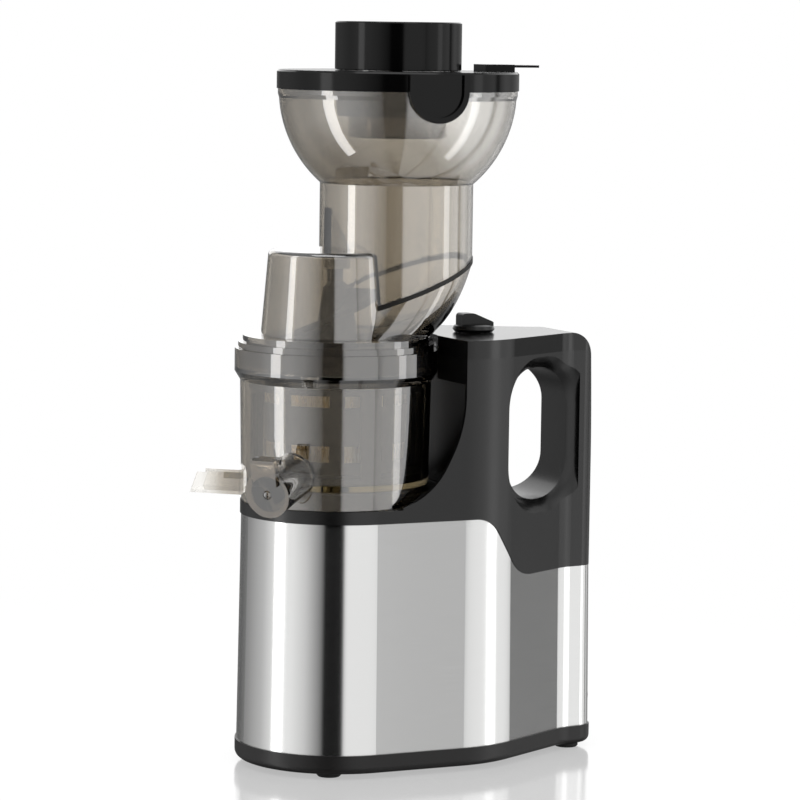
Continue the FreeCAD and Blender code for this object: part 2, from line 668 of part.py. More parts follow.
def upper_housing():
    outer = base_prism(-HOUSING_INSET, WRAP_REAR_TOP - 1, COLUMN_TOP).common(side_prism(column_corners()))
    hollow = base_prism(-HOUSING_INSET - WALL, WRAP_REAR_TOP - 20, COLUMN_TOP)
    hollow = hollow.common(side_prism(grown(column_corners(4 * WALL), -WALL)))
    hollow = hollow.cut(drum_recess(WALL))
    for wall in handle_hole(WALL):
        hollow = hollow.cut(wall)
    shell = outer.cut(drum_recess(0)).cut(hollow)
    for opening in handle_hole(0):
        shell = shell.cut(opening)
    top = block((-100, 100), (-100, 250), (COVER_SEAM, COLUMN_TOP + 50))
    shell = shell.cut(top)
    lip_grow = -WRAP_DRAFT - WRAP_THICKNESS - SEAT_GAP
    lip = base_prism(lip_grow, WRAP_TOP - 9, WRAP_TOP + 3).cut(
        base_prism(lip_grow - WALL, WRAP_TOP - 10, WRAP_TOP + 4))
    lip = lip.common(block((-100, 100), (-100, COLUMN_FRONT), (0, 300)))
    underside = PLATFORM_HEIGHT - WALL + 0.5
    posts = [cylinder(BOSS_RADIUS, BOSS_SPLIT, underside, spot) for spot in BOSS_SPOTS[:2]]
    posts += [cylinder(BOSS_RADIUS, BOSS_SPLIT, HANDLE_LOW - WALL + 0.5, spot) for spot in BOSS_SPOTS[2:]]
    posts += [cylinder(GEARBOX_POST_RADIUS, GEARBOX_TOP + GEARBOX_LID, underside, spot)
              for spot in GEARBOX_SPOTS]
    hub = cylinder(HUB_RADIUS, underside, HUB_TOP)
    shell = joined([shell, lip, hub] + posts)
    drills = [cylinder(SCREW_RADIUS, BOSS_SPLIT - 1, BOSS_SPLIT + 14, spot) for spot in BOSS_SPOTS]
    drills += [cylinder(SCREW_RADIUS, GEARBOX_TOP, GEARBOX_TOP + 9, spot) for spot in GEARBOX_SPOTS]
    drills.append(cylinder(SEAL_RADIUS, underside - 1, HUB_TOP + 1))
    return shell.cut(Part.makeCompound(drills))


def top_cover():
    outer = base_prism(-HOUSING_INSET, COVER_SEAM, COLUMN_TOP).common(side_prism(column_corners()))
    hollow = base_prism(-HOUSING_INSET - WALL, COVER_SEAM - 1, COLUMN_TOP - WALL)
    hollow = hollow.common(side_prism(grown(column_corners(), -WALL)))
    hollow = hollow.cut(drum_recess(WALL))
    cover = outer.cut(drum_recess(0)).cut(hollow)
    return cover.cut(cylinder(SPINDLE_RADIUS + RUN_GAP, COVER_SEAM, COLUMN_TOP + 1, (0, KNOB_AXIS)))


# Motor and gearbox
def gear(teeth, module, phase, low, high, centre, bore, hollow=False):
    """Spur gear with stub involute teeth; phase is the plan angle of one tooth.

    A hollow gear is the cutter of an internal ring: its teeth are the ring's gaps.
    """
    pressure = math.radians(20)
    pitch = module * teeth / 2
    base = pitch * math.cos(pressure)
    outer_reach = 1.1 if hollow else 0.8
    inner_reach = 0.8 if hollow else 1.1
    slack = BACKLASH if hollow else -BACKLASH

    def half_angle(radius):
        flank = math.acos(min(1.0, base / radius))
        unwound = math.tan(pressure) - pressure - (math.tan(flank) - flank)
        return (math.pi * module / 2 + slack) / 2 / pitch + unwound

    radii = [pitch - inner_reach * module, pitch, pitch + outer_reach * module]
    points = []
    for tooth in range(teeth):
        middle = math.radians(phase + 360.0 * tooth / teeth)
        rising = [(radius, middle - half_angle(radius)) for radius in radii]
        falling = [(radius, middle + half_angle(radius)) for radius in reversed(radii)]
        for radius, angle in rising + falling:
            points.append(Vector(centre[0] + radius * math.cos(angle),
                                 centre[1] + radius * math.sin(angle), low))
    face = Part.Face(Part.makePolygon(points + [points[0]]))
    solid = face.extrude(Vector(0, 0, high - low))
    if bore > 0:
        solid = solid.cut(cylinder(bore, low - 1, high + 1, centre))
    return solid


def bearing_of(start, end):
    return math.degrees(math.atan2(end[1] - start[1], end[0] - start[0]))


def meshed_phase(direction, teeth):
    """Phase of a gear that has a gap where the gear before it has a tooth."""
    return direction + 180 + 180.0 / teeth


def motor_can():
    can = tube(MOTOR_RADIUS, MOTOR_RADIUS - MOTOR_WALL, MOTOR_LOW, MOTOR_TOP, MOTOR_SPOT)
    plates = [tube(MOTOR_RADIUS - 1, MOTOR_BEARING_RADIUS, low, low + 3, MOTOR_SPOT)
              for low in (MOTOR_LOW, MOTOR_TOP - 3)]
    return joined([can] + plates)


def stator_core():
    return tube(MOTOR_RADIUS - MOTOR_WALL, ROTOR_RADIUS + ROTOR_GAP, CORE_LOW, CORE_HIGH, MOTOR_SPOT)


def stator_windings():
    """Copper rings at both ends of the stator core."""
    inner = ROTOR_RADIUS + 3 * ROTOR_GAP
    outer = MOTOR_RADIUS - 2.5 * MOTOR_WALL
    edge = WINDING_HEIGHT / 3

    def ring(seat, end):
        bend = seat + (end - seat) * (WINDING_HEIGHT - edge) / WINDING_HEIGHT
        return turned([(inner, seat), (outer, seat), (outer, bend), (outer - edge, end),
                       (inner + edge, end), (inner, bend)], MOTOR_SPOT)

    return Part.makeCompound([ring(CORE_LOW, CORE_LOW - WINDING_HEIGHT), ring(CORE_HIGH, CORE_HIGH + WINDING_HEIGHT)])


def rotor_core():
    return tube(ROTOR_RADIUS, MOTOR_SHAFT_RADIUS, CORE_LOW, CORE_HIGH, MOTOR_SPOT)


def motor_shaft():
    return cylinder(MOTOR_SHAFT_RADIUS, FAN_LOW - 2, FAST_GEAR_HIGH + 1, MOTOR_SPOT)


def motor_pinion():
    phase = bearing_of(MOTOR_SPOT, COUNTER_AXIS)
    return gear(MOTOR_TEETH, FAST_MODULE, phase, FAST_GEAR_LOW - 0.5, FAST_GEAR_HIGH + 0.5,
                MOTOR_SPOT, MOTOR_SHAFT_RADIUS)


def cooling_fan():
    hub = cylinder(FAN_HUB_RADIUS, FAN_LOW, FAN_HIGH, MOTOR_SPOT)
    plate = cylinder(FAN_RADIUS, FAN_HIGH - 1.6, FAN_HIGH, MOTOR_SPOT)
    blade = block((FAN_HUB_RADIUS - 1, FAN_RADIUS), (-0.8, 0.8), (FAN_LOW, FAN_HIGH - 1))
    blades = [spun(moved(blade, y=MOTOR_AXIS), 360.0 * index / FAN_BLADES, MOTOR_SPOT)
              for index in range(FAN_BLADES)]
    wheel = joined([hub, plate] + blades)
    return wheel.cut(cylinder(MOTOR_SHAFT_RADIUS, FAN_LOW - 1, FAN_HIGH + 1, MOTOR_SPOT))


def gearbox_outline(grow, height):
    rear = MOTOR_AXIS + GEARBOX_REAR
    corners = grown([
        (-GEARBOX_RADIUS, -GEARBOX_RADIUS, GEARBOX_RADIUS),
        (GEARBOX_RADIUS, -GEARBOX_RADIUS, GEARBOX_RADIUS),
        (GEARBOX_RADIUS, rear, GEARBOX_REAR),
        (-GEARBOX_RADIUS, rear, GEARBOX_REAR),
    ], grow)
    return rounded_wire(corners, lambda x, y: Vector(x, y, height))


def gearbox_prism(grow, low, high):
    return Part.Face(gearbox_outline(grow, low)).extrude(Vector(0, 0, high - low))


def gearbox_case():
    floor = MOTOR_TOP + GEARBOX_WALL
    shell = gearbox_prism(0, MOTOR_TOP, GEARBOX_TOP)
    shell = shell.cut(gearbox_prism(-GEARBOX_WALL, floor, GEARBOX_TOP + 1))
    collar = cylinder(DRIVE_BEARING_RADIUS + 2, MOTOR_TOP, MOTOR_TOP + BEARING_DEPTH)
    collar = collar.fuse(cylinder(BUSH_RADIUS + 2, MOTOR_TOP, MOTOR_TOP + BEARING_DEPTH, COUNTER_AXIS))
    shell = joined([shell, collar])
    holes = [
        cylinder(DRIVE_BEARING_RADIUS, MOTOR_TOP - 1, MOTOR_TOP + 20),
        cylinder(BUSH_RADIUS, MOTOR_TOP - 1, MOTOR_TOP + 20, COUNTER_AXIS),
        cylinder(MOTOR_SHAFT_RADIUS + 2, MOTOR_TOP - 1, floor + 1, MOTOR_SPOT),
    ]
    return shell.cut(Part.makeCompound(holes))


def gearbox_lid():
    plate = gearbox_prism(0, GEARBOX_TOP, GEARBOX_TOP + GEARBOX_LID)
    holes = [
        cylinder(DRIVE_BEARING_RADIUS, GEARBOX_TOP - 1, GEARBOX_TOP + 9),
        cylinder(BUSH_RADIUS, GEARBOX_TOP - 1, GEARBOX_TOP + 9, COUNTER_AXIS),
    ]
    holes += [cylinder(SCREW_RADIUS, GEARBOX_TOP - 1, GEARBOX_TOP + 9, spot) for spot in GEARBOX_SPOTS]
    return plate.cut(Part.makeCompound(holes))


def shaft_bearings():
    """Ball bearings of the motor and drive shafts and the bushes of the countershaft."""
    def ring(radius, shaft, low, high, spot):
        return tube(radius, shaft + RUN_GAP, low, high, spot)

    deep = BEARING_DEPTH
    return Part.makeCompound([
        ring(MOTOR_BEARING_RADIUS, MOTOR_SHAFT_RADIUS, MOTOR_LOW, MOTOR_LOW + deep, MOTOR_SPOT),
        ring(MOTOR_BEARING_RADIUS, MOTOR_SHAFT_RADIUS, MOTOR_TOP - deep, MOTOR_TOP, MOTOR_SPOT),
        ring(BUSH_RADIUS, COUNTER_SHAFT_RADIUS, MOTOR_TOP, MOTOR_TOP + deep, COUNTER_AXIS),
        ring(BUSH_RADIUS, COUNTER_SHAFT_RADIUS, GEARBOX_TOP, GEARBOX_TOP + GEARBOX_LID, COUNTER_AXIS),
        ring(DRIVE_BEARING_RADIUS, SHAFT_RADIUS, MOTOR_TOP, MOTOR_TOP + deep, (0, 0)),
        ring(DRIVE_BEARING_RADIUS, SHAFT_RADIUS, GEARBOX_TOP, GEARBOX_TOP + GEARBOX_LID, (0, 0)),
    ])


def counter_wheel():
    phase = meshed_phase(bearing_of(MOTOR_SPOT, COUNTER_AXIS), WHEEL_TEETH)
    return gear(WHEEL_TEETH, FAST_MODULE, phase, FAST_GEAR_LOW, FAST_GEAR_HIGH,
                COUNTER_AXIS, COUNTER_SHAFT_RADIUS)


def counter_pinion():
    phase = bearing_of(COUNTER_AXIS, (0, 0))
    return gear(SLOW_TEETH, GEAR_MODULE, phase, SLOW_GEAR_LOW - 0.5, FAST_GEAR_LOW,
                COUNTER_AXIS, COUNTER_SHAFT_RADIUS)


def counter_shaft():
    return cylinder(COUNTER_SHAFT_RADIUS, MOTOR_TOP + 1, GEARBOX_TOP + GEARBOX_LID - 1, COUNTER_AXIS)


def output_gear():
    phase = meshed_phase(bearing_of(COUNTER_AXIS, (0, 0)), OUTPUT_TEETH)
    return gear(OUTPUT_TEETH, GEAR_MODULE, phase, SLOW_GEAR_LOW, SLOW_GEAR_HIGH, (0, 0), SHAFT_RADIUS)


def hexagon(flats, low, high):
    radius = flats / math.sqrt(3)
    points = [Vector(radius * math.cos(math.radians(60 * i)), radius * math.sin(math.radians(60 * i)), low)
              for i in range(7)]
    return Part.Face(Part.makePolygon(points)).extrude(Vector(0, 0, high - low))


def drive_shaft():
    round_part = cylinder(SHAFT_RADIUS, MOTOR_TOP + 1, DRUM_FLOOR)
    return round_part.fuse(hexagon(HEX_FLATS, DRUM_FLOOR, HEX_TOP)).removeSplitter()


def shaft_seal():
    return tube(SEAL_RADIUS, SHAFT_RADIUS + RUN_GAP, HUB_TOP - SEAL_DEPTH, HUB_TOP)


def gearbox_screws():
    return screws(GEARBOX_SPOTS, GEARBOX_TOP, GEARBOX_TOP + GEARBOX_LID + GEARBOX_POST_LENGTH / 2)


def housing_screws():
    return screws(BOSS_SPOTS, SCREW_SEAT, BOSS_SPLIT + SCREW_BITE)


def screws(spots, seat, tip):
    """Pan head screws that point upwards."""
    made = []
    for spot in spots:
        head = seat - SCREW_HEAD_HEIGHT
        made.append(turned([(0, head), (SCREW_HEAD_RADIUS - 0.8, head),
                            (SCREW_HEAD_RADIUS, head + 1), (SCREW_HEAD_RADIUS, seat),
                            (SCREW_RADIUS, seat), (SCREW_RADIUS, tip), (0, tip)], spot))
    return Part.makeCompound(made)


def circuit_board():
    board = block((-BOARD_HALF_WIDTH, BOARD_HALF_WIDTH), (BOARD_FRONT, BOARD_REAR),
                  (BOARD_LOW, BOARD_LOW + BOARD_THICKNESS))
    top = BOARD_LOW + BOARD_THICKNESS
    relay = block((-18, -4), (BOARD_FRONT + 5, BOARD_FRONT + 17), (top, top + 15))
    capacitor = cylinder(6.5, top, top + 22, (10, BOARD_FRONT + 11))
    return joined([board, relay, capacitor])


def cord_gland():
    """Empty sleeve at the rear where the mains lead enters."""
    rear = REAR_REACH
    sleeve = Part.makeCylinder(INLET_RADIUS - SEAT_GAP / 2, 12, Vector(0, rear - 10, INLET_HEIGHT), Vector(0, 1, 0))
    flange = Part.makeCylinder(INLET_RADIUS + 3, 2.2, Vector(0, rear, INLET_HEIGHT), Vector(0, 1, 0))
    nut = Part.makeCylinder(INLET_RADIUS + 2.5, 4, Vector(0, rear - 6, INLET_HEIGHT), Vector(0, 1, 0))
    bore = Part.makeCylinder(CORD_RADIUS, 30, Vector(0, rear - 15, INLET_HEIGHT), Vector(0, 1, 0))
    return joined([sleeve, flange, nut]).cut(bore)


# Knob and its switch
def rotary_switch():
    half = SWITCH_HALF_WIDTH
    body = block((-half, half), (KNOB_AXIS - half, KNOB_AXIS + half),
                 (COLUMN_TOP - WALL - SWITCH_HEIGHT, COLUMN_TOP - WALL))
    return body.cut(cylinder(SPINDLE_RADIUS + RUN_GAP, SWITCH_SOCKET, COLUMN_TOP, (0, KNOB_AXIS)))


def switch_spindle():
    return cylinder(SPINDLE_RADIUS, SWITCH_SOCKET + SEAT_GAP, COLUMN_TOP + KNOB_DISC, (0, KNOB_AXIS))


def control_knob():
    low = COLUMN_TOP + SEAT_GAP
    disc = turned([(0, low), (KNOB_RADIUS - 1.6, low), (KNOB_RADIUS, low + 1.8),
                   (KNOB_RADIUS - 1.0, low + KNOB_DISC - 1), (KNOB_RADIUS - 3.5, low + KNOB_DISC),
                   (0, low + KNOB_DISC)], (0, KNOB_AXIS))
    top = low + KNOB_DISC
    grip = side_prism([
        (KNOB_AXIS - KNOB_RADIUS + 3.4, low + 2, 0),
        (KNOB_AXIS + KNOB_RADIUS - 1.8, low + 2, 0),
        (KNOB_AXIS + KNOB_RADIUS - 1.8, top + 1.5, 1.2),
        (KNOB_AXIS - 2, top + KNOB_GRIP, 8),
        (KNOB_AXIS - KNOB_RADIUS + 3.4, top + KNOB_GRIP, 2.5),
    ], KNOB_GRIP_HALF_WIDTH)
    knob = joined([disc, grip])
    return knob.cut(cylinder(SPINDLE_RADIUS, low - 1, COLUMN_TOP + KNOB_DISC, (0, KNOB_AXIS)))


# Drum
def drum_profile():
    low_outer = DRUM_RADIUS - DRUM_TAPER
    inner = DRUM_RADIUS - CLEAR_WALL
    socket = COLLAR_RADIUS - CLEAR_WALL
    under = DRUM_FLOOR - DRUM_FLOOR_THICKNESS
    hole = SHAFT_RADIUS + 0.4
    return [
        (hole, DRUM_FLOOR), (hole, under - 1), (GASKET_RADIUS, under - 1),
        (GASKET_RADIUS, HUB_TOP + 0.5), (GASKET_RADIUS + 2, HUB_TOP + 0.5), (GASKET_RADIUS + 2, under),
        (DRUM_INNER_LOW, under), (DRUM_INNER_LOW, DRUM_BOTTOM), (low_outer, DRUM_BOTTOM),
        (DRUM_RADIUS, COLLAR_LOW - 5), (COLLAR_RADIUS, COLLAR_LOW + 1), (COLLAR_RADIUS, COLLAR_TOP),
        (socket, COLLAR_TOP), (socket, COLLAR_LOW + 3.5), (inner, COLLAR_LOW - 0.5),
        (DRUM_INNER_LOW, DRUM_FLOOR),
    ]


def spout_length():
    return (SPOUT_REACH - SPOUT_ROOT) / math.cos(math.radians(SPOUT_SLOPE))


def on_spout(shape):
    """Place a shape made along +X from the spout's root, with +Z across its top."""
    height = SPOUT_HEIGHT + (DRUM_RADIUS - SPOUT_ROOT) * math.tan(math.radians(SPOUT_SLOPE))
    copy = shape.copy()
    copy.rotate(Vector(0, 0, 0), Vector(0, 1, 0), SPOUT_SLOPE)
    copy.translate(Vector(SPOUT_ROOT, 0, height))
    copy.rotate(Vector(0, 0, 0), UP, SPOUT_ANGLE)
    return copy


def along_x(radius, start, end):
    return Part.makeCylinder(radius, end - start, Vector(start, 0, 0), Vector(1, 0, 0))


def across(radius, half_width, x, z):
    return Part.makeCylinder(radius, 2 * half_width, Vector(x, -half_width, z), Vector(0, 1, 0))


def hinge_spot():
    return spout_length() - HINGE_BACK, SPOUT_RADIUS + HINGE_RISE


def spout_body():
    """Solid spout with its hinge ears, before the bore is cut."""
    x, z = hinge_spot()
    ears = []
    for side in (-1, 1):
        y_range = sorted((side * HINGE_HALF_WIDTH, side * (HINGE_HALF_WIDTH - HINGE_EAR_WIDTH)))
        web = block((x - 6, x + HINGE_BACK - 0.4), y_range, (SPOUT_RADIUS - 6, z))
        knuckle = across(HINGE_EAR_RADIUS, HINGE_HALF_WIDTH, x, z).common(
            block((x - 9, x + 9), y_range, (z - 9, z + 9)))
        ears.append(web.fuse(knuckle))
    body = joined([along_x(SPOUT_RADIUS, 0, spout_length())] + ears)
    return on_spout(body.cut(across(HINGE_PIN_RADIUS, HINGE_HALF_WIDTH + 1, x, z)))


def spout_bore():
    return on_spout(along_x(SPOUT_RADIUS - SPOUT_WALL, SPOUT_WALL, spout_length() + 5))


def on_chute(shape):
    return spun(shape, PULP_ANGLE)


def pulp_channel(outside):
    """Duct of the pulp chute, or the space in it, from the drum's middle outwards."""
    trim = 0 if outside else PULP_WALL
    half = PULP_HALF_WIDTH - trim
    start = HUB_RADIUS + 1 + trim
    end = PULP_REACH if outside else PULP_REACH + 5
    wall_radius = DRUM_INNER_LOW + 0.5
    under = DRUM_FLOOR - DRUM_FLOOR_THICKNESS
    inner_run = block((start, wall_radius + 2), (-half, half), (PULP_LOW + trim, under + (0.5 - trim / 4)))
    outer_run = block((wall_radius - 2 * trim, end), (-half, half), (PULP_LOW + trim, PULP_HIGH - trim))
    limit = cylinder(wall_radius - trim, 0, 300)
    return on_chute(inner_run.fuse(outer_run.cut(limit)))


def drum_form():
    """Drum, spout and chute as one hollow form, before they are parted at the wall."""
    shell = turned(drum_profile())
    inside = cylinder(DRUM_INNER_LOW + 0.2, DRUM_FLOOR, COLLAR_TOP)
    spout = spout_body().cut(inside)
    chute = pulp_channel(True)
    open_start = PULP_REACH - PULP_OPEN_LENGTH
    mouth_cut = Part.makeBox(30, 60, 40, Vector(open_start, -30, PULP_HIGH - PULP_WALL - 0.5))
    chute = chute.cut(on_chute(mouth_cut))
    slant = Part.makeBox(40, 80, 60, Vector(0, -40, -30))
    slant.rotate(Vector(0, 0, 0), Vector(0, 1, 0), -PULP_END_LEAN)
    slant.translate(Vector(PULP_REACH - 1, 0, PULP_LOW))
    chute = chute.cut(on_chute(slant))
    idler_pin = cylinder(IDLER_PIN_RADIUS, DRUM_FLOOR - 1, GEAR_HIGH, (0, IDLER_REACH))
    shell = joined([shell, spout, chute, idler_pin])
    pulp_hole = on_chute(cylinder(PULP_HOLE_RADIUS + NOZZLE_WALL + 0.2, DRUM_FLOOR - 6, DRUM_FLOOR + 1,
                                  (PULP_HOLE_REACH, 0)))
    return shell.cut(spout_bore()).cut(pulp_channel(False)).cut(pulp_hole)


def beyond_wall(gap):
    """Space outside the drum's wall, where the spout and the chute stand on short stubs."""
    return tube(PULP_REACH + 20, DRUM_RADIUS + STUB_LENGTH + gap, 0, COLLAR_LOW - 6)


def juicing_drum():
    return drum_form().cut(beyond_wall(0))


def juice_spout():
    spouts = drum_form().common(beyond_wall(RUN_GAP))
    return spouts.common(block((0, 200), (-200, 200), (0, 300)))


def pulp_chute():
    spouts = drum_form().common(beyond_wall(RUN_GAP))
    return spouts.common(block((-200, 0), (-200, 200), (0, 300)))


def drum_gasket():
    under = DRUM_FLOOR - DRUM_FLOOR_THICKNESS
    return tube(GASKET_RADIUS, SHAFT_RADIUS + RUN_GAP, HUB_TOP + 2, under - 1)


def cap_hinge_pin():
    x, z = hinge_spot()
    return on_spout(across(HINGE_PIN_RADIUS, HINGE_HALF_WIDTH, x, z))


def juice_cap():
    x, z = hinge_spot()
    face = spout_length() + SEAT_GAP
    disc = along_x(CAP_RADIUS, face, face + CAP_THICKNESS)
    boss = Part.makeSphere(CAP_BOSS_RADIUS, Vector(face + CAP_THICKNESS - 1.2, 0, 0))
    boss = boss.common(block((face + 1, face + 10), (-9, 9), (-9, 9)))
    arm = block((face, face + CAP_THICKNESS + 2.5), (-HINGE_HALF_WIDTH, HINGE_HALF_WIDTH),
                (CAP_RADIUS - 9, z + HINGE_EAR_RADIUS))
    inner_half = HINGE_HALF_WIDTH - HINGE_EAR_WIDTH - SEAT_GAP
    knuckle = across(HINGE_EAR_RADIUS, inner_half, x, z)
    neck = block((x, face + 1), (-inner_half, inner_half), (z - HINGE_EAR_RADIUS, z + HINGE_EAR_RADIUS))
    cap = joined([disc, boss, arm, knuckle, neck])
    return on_spout(cap.cut(across(HINGE_PIN_RADIUS + RUN_GAP, HINGE_HALF_WIDTH, x, z)))


def cap_plug():
    face = spout_length() + SEAT_GAP
    base = SPOUT_RADIUS - SPOUT_WALL - 0.4
    plug = Part.makeCone(base - 0.9, base, PLUG_DEPTH, Vector(face - PLUG_DEPTH, 0, 0), Vector(1, 0, 0))
    return on_spout(plug)


# Strainer and brush
def strainer_frame():
    inner = STRAINER_RADIUS - STRAINER_WALL
    low_inner = STRAINER_LOW_RADIUS - STRAINER_WALL
    hub = GEAR_MODULE * AUGER_TEETH / 2 + GEAR_MODULE + 0.4
    floor = STRAINER_FLOOR + STRAINER_FLOOR_THICKNESS
    shell = turned([
        (hub, STRAINER_FLOOR), (STRAINER_LOW_RADIUS, STRAINER_FLOOR),
        (STRAINER_RADIUS, STRAINER_TOP - 2.5), (STRAINER_RADIUS + STRAINER_RIM, STRAINER_TOP - 2.5),
        (STRAINER_RADIUS + STRAINER_RIM, STRAINER_TOP), (inner, STRAINER_TOP), (low_inner, floor), (hub, floor)])
    nozzle = on_chute(cylinder(PULP_HOLE_RADIUS + NOZZLE_WALL, DRUM_FLOOR - 3, floor, (PULP_HOLE_REACH, 0)))
    shell = shell.fuse(nozzle).cut(cylinder(hub, GEAR_LOW - 5, floor + 1))
    cuts = [on_chute(cylinder(PULP_HOLE_RADIUS, DRUM_FLOOR - 4, floor + 1, (PULP_HOLE_REACH, 0)))]
    cuts += strainer_windows(STRAINER_RADIUS + 1, low_inner - 1)
    return shell.cut(Part.makeCompound(cuts))


def window_rows():
    return [(STRAINER_FLOOR + low, STRAINER_FLOOR + high) for low, high in WINDOW_RISES]


def strainer_windows(outer, inner):
    panes = []
    for low, high in window_rows():
        for index in range(WINDOW_COUNT):
            start = 360.0 * index / WINDOW_COUNT - WINDOW_SPAN / 2
            panes.append(ring_sector(outer, inner, low, high, start, WINDOW_SPAN))
    return panes


def strainer_mesh():
    """Fine metal screens that fill the strainer's windows."""
    height = STRAINER_TOP - STRAINER_FLOOR
    lean = STRAINER_TAPER / height
    panes = []
    for low, high in window_rows():
        middle_low = STRAINER_LOW_RADIUS - STRAINER_WALL / 2 + (low - STRAINER_FLOOR) * lean
        middle_high = STRAINER_LOW_RADIUS - STRAINER_WALL / 2 + (high - STRAINER_FLOOR) * lean
        half = MESH_THICKNESS / 2
        for index in range(WINDOW_COUNT):
            start = 360.0 * index / WINDOW_COUNT - WINDOW_SPAN / 2
            pane = turned([(middle_low - half, low), (middle_low + half, low),
                           (middle_high + half, high), (middle_high - half, high)], angle=WINDOW_SPAN)
            panes.append(spun(pane, start))
    return Part.makeCompound(panes)


def brush_frame():
    outer = BRUSH_RADIUS
    inner = BRUSH_RADIUS - BRUSH_POST
    low_ring = cylinder(outer, GEAR_LOW, GEAR_HIGH).cut(
        gear(RING_TEETH, GEAR_MODULE, 90 + 180.0 / RING_TEETH, GEAR_LOW - 1, GEAR_HIGH + 1, (0, 0), 0, True))
    top_ring = tube(outer, inner, BRUSH_TOP - BRUSH_RING, BRUSH_TOP)
    post = ring_sector(outer, inner, GEAR_HIGH - 1, BRUSH_TOP - 1, -BRUSH_POST_SPAN / 2, BRUSH_POST_SPAN)
    posts = [spun(post, 360.0 * index / WIPER_COUNT) for index in range(WIPER_COUNT)]
    return joined([low_ring, top_ring] + posts)


def wiper_blades():
    """Soft blades on the brush posts, in turn towards the drum and the strainer."""
    blades = []
    low = GEAR_HIGH + 2
    high = BRUSH_TOP - BRUSH_RING - 2
    outer_tip = DRUM_INNER_LOW - WIPER_GAP
    for index in range(WIPER_COUNT):
        if index % 2:
            blade = ring_sector(outer_tip, BRUSH_RADIUS, low, high, -WIPER_SPAN / 2, WIPER_SPAN)
        else:
            inner_tip = STRAINER_RADIUS + WIPER_GAP
            blade = ring_sector(BRUSH_RADIUS - BRUSH_POST, inner_tip, low, high, -WIPER_SPAN / 2, WIPER_SPAN)
        blades.append(spun(blade, 360.0 * index / WIPER_COUNT))
    return Part.makeCompound(blades)


def idler_gear():
    return gear(IDLER_TEETH, GEAR_MODULE, 270 + 180.0 / IDLER_TEETH, GEAR_LOW, GEAR_HIGH - 0.3,
                (0, IDLER_REACH), IDLER_PIN_RADIUS + RUN_GAP)


# Auger
def screw_flight(pitch, low, high, thickness, reach):
    """Flat helical thread from near the axis out to a reach."""
    height = high - low
    helix = Part.makeHelix(pitch, height, 6.0)
    helix.translate(Vector(0, 0, low))
    profile = Part.makePolygon([Vector(6, 0, low), Vector(reach, 0, low), Vector(reach, 0, low + thickness),
                                Vector(6, 0, low + thickness), Vector(6, 0, low)])
    shell = Part.Wire(helix.Edges).makePipeShell([profile], True, True)
    return shell


def auger_screw():
    neck = GEAR_MODULE * AUGER_TEETH / 2 - 1.1 * GEAR_MODULE
    floor = STRAINER_FLOOR + STRAINER_FLOOR_THICKNESS + AUGER_GAP
    reach_low = STRAINER_LOW_RADIUS - STRAINER_WALL - AUGER_GAP
    reach_high = STRAINER_RADIUS - STRAINER_WALL - AUGER_GAP
    core = turned([
        (0, GEAR_LOW), (neck, GEAR_LOW), (neck, floor), (AUGER_FOOT_RADIUS, floor),
        (AUGER_FOOT_RADIUS + 1, floor + 6), ((27, STRAINER_TOP - 20), (17, STRAINER_TOP + 4)),
        (AUGER_NECK_RADIUS, AUGER_TOP - 8), (AUGER_PIN_RADIUS, AUGER_TOP - 4),
        (AUGER_PIN_RADIUS, BUSH_TOP - SEAT_GAP), (0, BUSH_TOP - SEAT_GAP)])
    envelope = turned([(0, floor), (reach_low, floor), (reach_high, STRAINER_TOP - 2),
                       (THROAT_RADIUS - 3, STRAINER_TOP + 6), (WING_RADIUS + 3, LID_DECK + 4),
                       (WING_RADIUS, AUGER_TOP - 8), (0, AUGER_TOP - 8)])
    reach = reach_high + 2
    fine = screw_flight(FINE_PITCH, floor + 1, STRAINER_TOP - 6, FINE_THICKNESS, reach)
    coarse = screw_flight(COARSE_PITCH, floor + 18, AUGER_TOP - 12, COARSE_THICKNESS, reach)
    small_gear = gear(AUGER_TEETH, GEAR_MODULE, 90, GEAR_LOW, GEAR_HIGH, (0, 0), 0)
    screw = core.fuse(coarse.common(envelope)).fuse(fine.common(envelope)).fuse(small_gear)
    return screw.cut(cylinder(INSERT_RADIUS, GEAR_LOW - 1, HEX_TOP + 4))


def auger_insert():
    sleeve = cylinder(INSERT_RADIUS, GEAR_LOW, HEX_TOP + 4)
    return sleeve.cut(hexagon(HEX_FLATS + 2 * HEX_GAP, GEAR_LOW - 1, HEX_TOP + 1.5))


# Lid and hopper
def seam_height(y, offset=0.0):
    return SEAM_HEIGHT + offset + (y - HOPPER_AXIS) * math.tan(math.radians(SEAM_TILT))


def above_seam(offset):
    near = -150.0
    far = 250.0
    return side_prism([(near, seam_height(near, offset), 0), (far, seam_height(far, offset), 0),
                       (far, HOPPER_TOP + 100, 0), (near, HOPPER_TOP + 100, 0)])


def hat(shrink):
    top = HAT_TOP - shrink
    top_radius = HAT_TOP_RADIUS - shrink
    low = LID_DECK - 1 if shrink == 0 else LID_DECK - 8
    edge = HAT_EDGE_RADIUS - min(shrink, HAT_EDGE_RADIUS - 1)
    bend = edge * (1 - math.sqrt(0.5))
    return turned([(0, low), (HAT_LOW_RADIUS - shrink, low), (top_radius, top - edge),
                   ((top_radius - bend, top - bend), (top_radius - edge, top)), (0, top)],
                  (0, HAT_CENTRE))


def oval(front, rear, half_width):
    """Closed oval from a front (y, z) to a rear (y, z), level across."""
    run = rear[0] - front[0]
    rise = rear[1] - front[1]
    circle = Part.makeCircle(1.0)
    matrix = FreeCAD.Matrix()
    matrix.scale(half_width, math.hypot(run, rise) / 2, 1)
    ring = circle.transformGeometry(matrix)
    ring.rotate(Vector(0, 0, 0), Vector(1, 0, 0), math.degrees(math.atan2(rise, run)))
    ring.translate(Vector(0, (front[0] + rear[0]) / 2, (front[1] + rear[1]) / 2))
    return Part.Wire([ring])


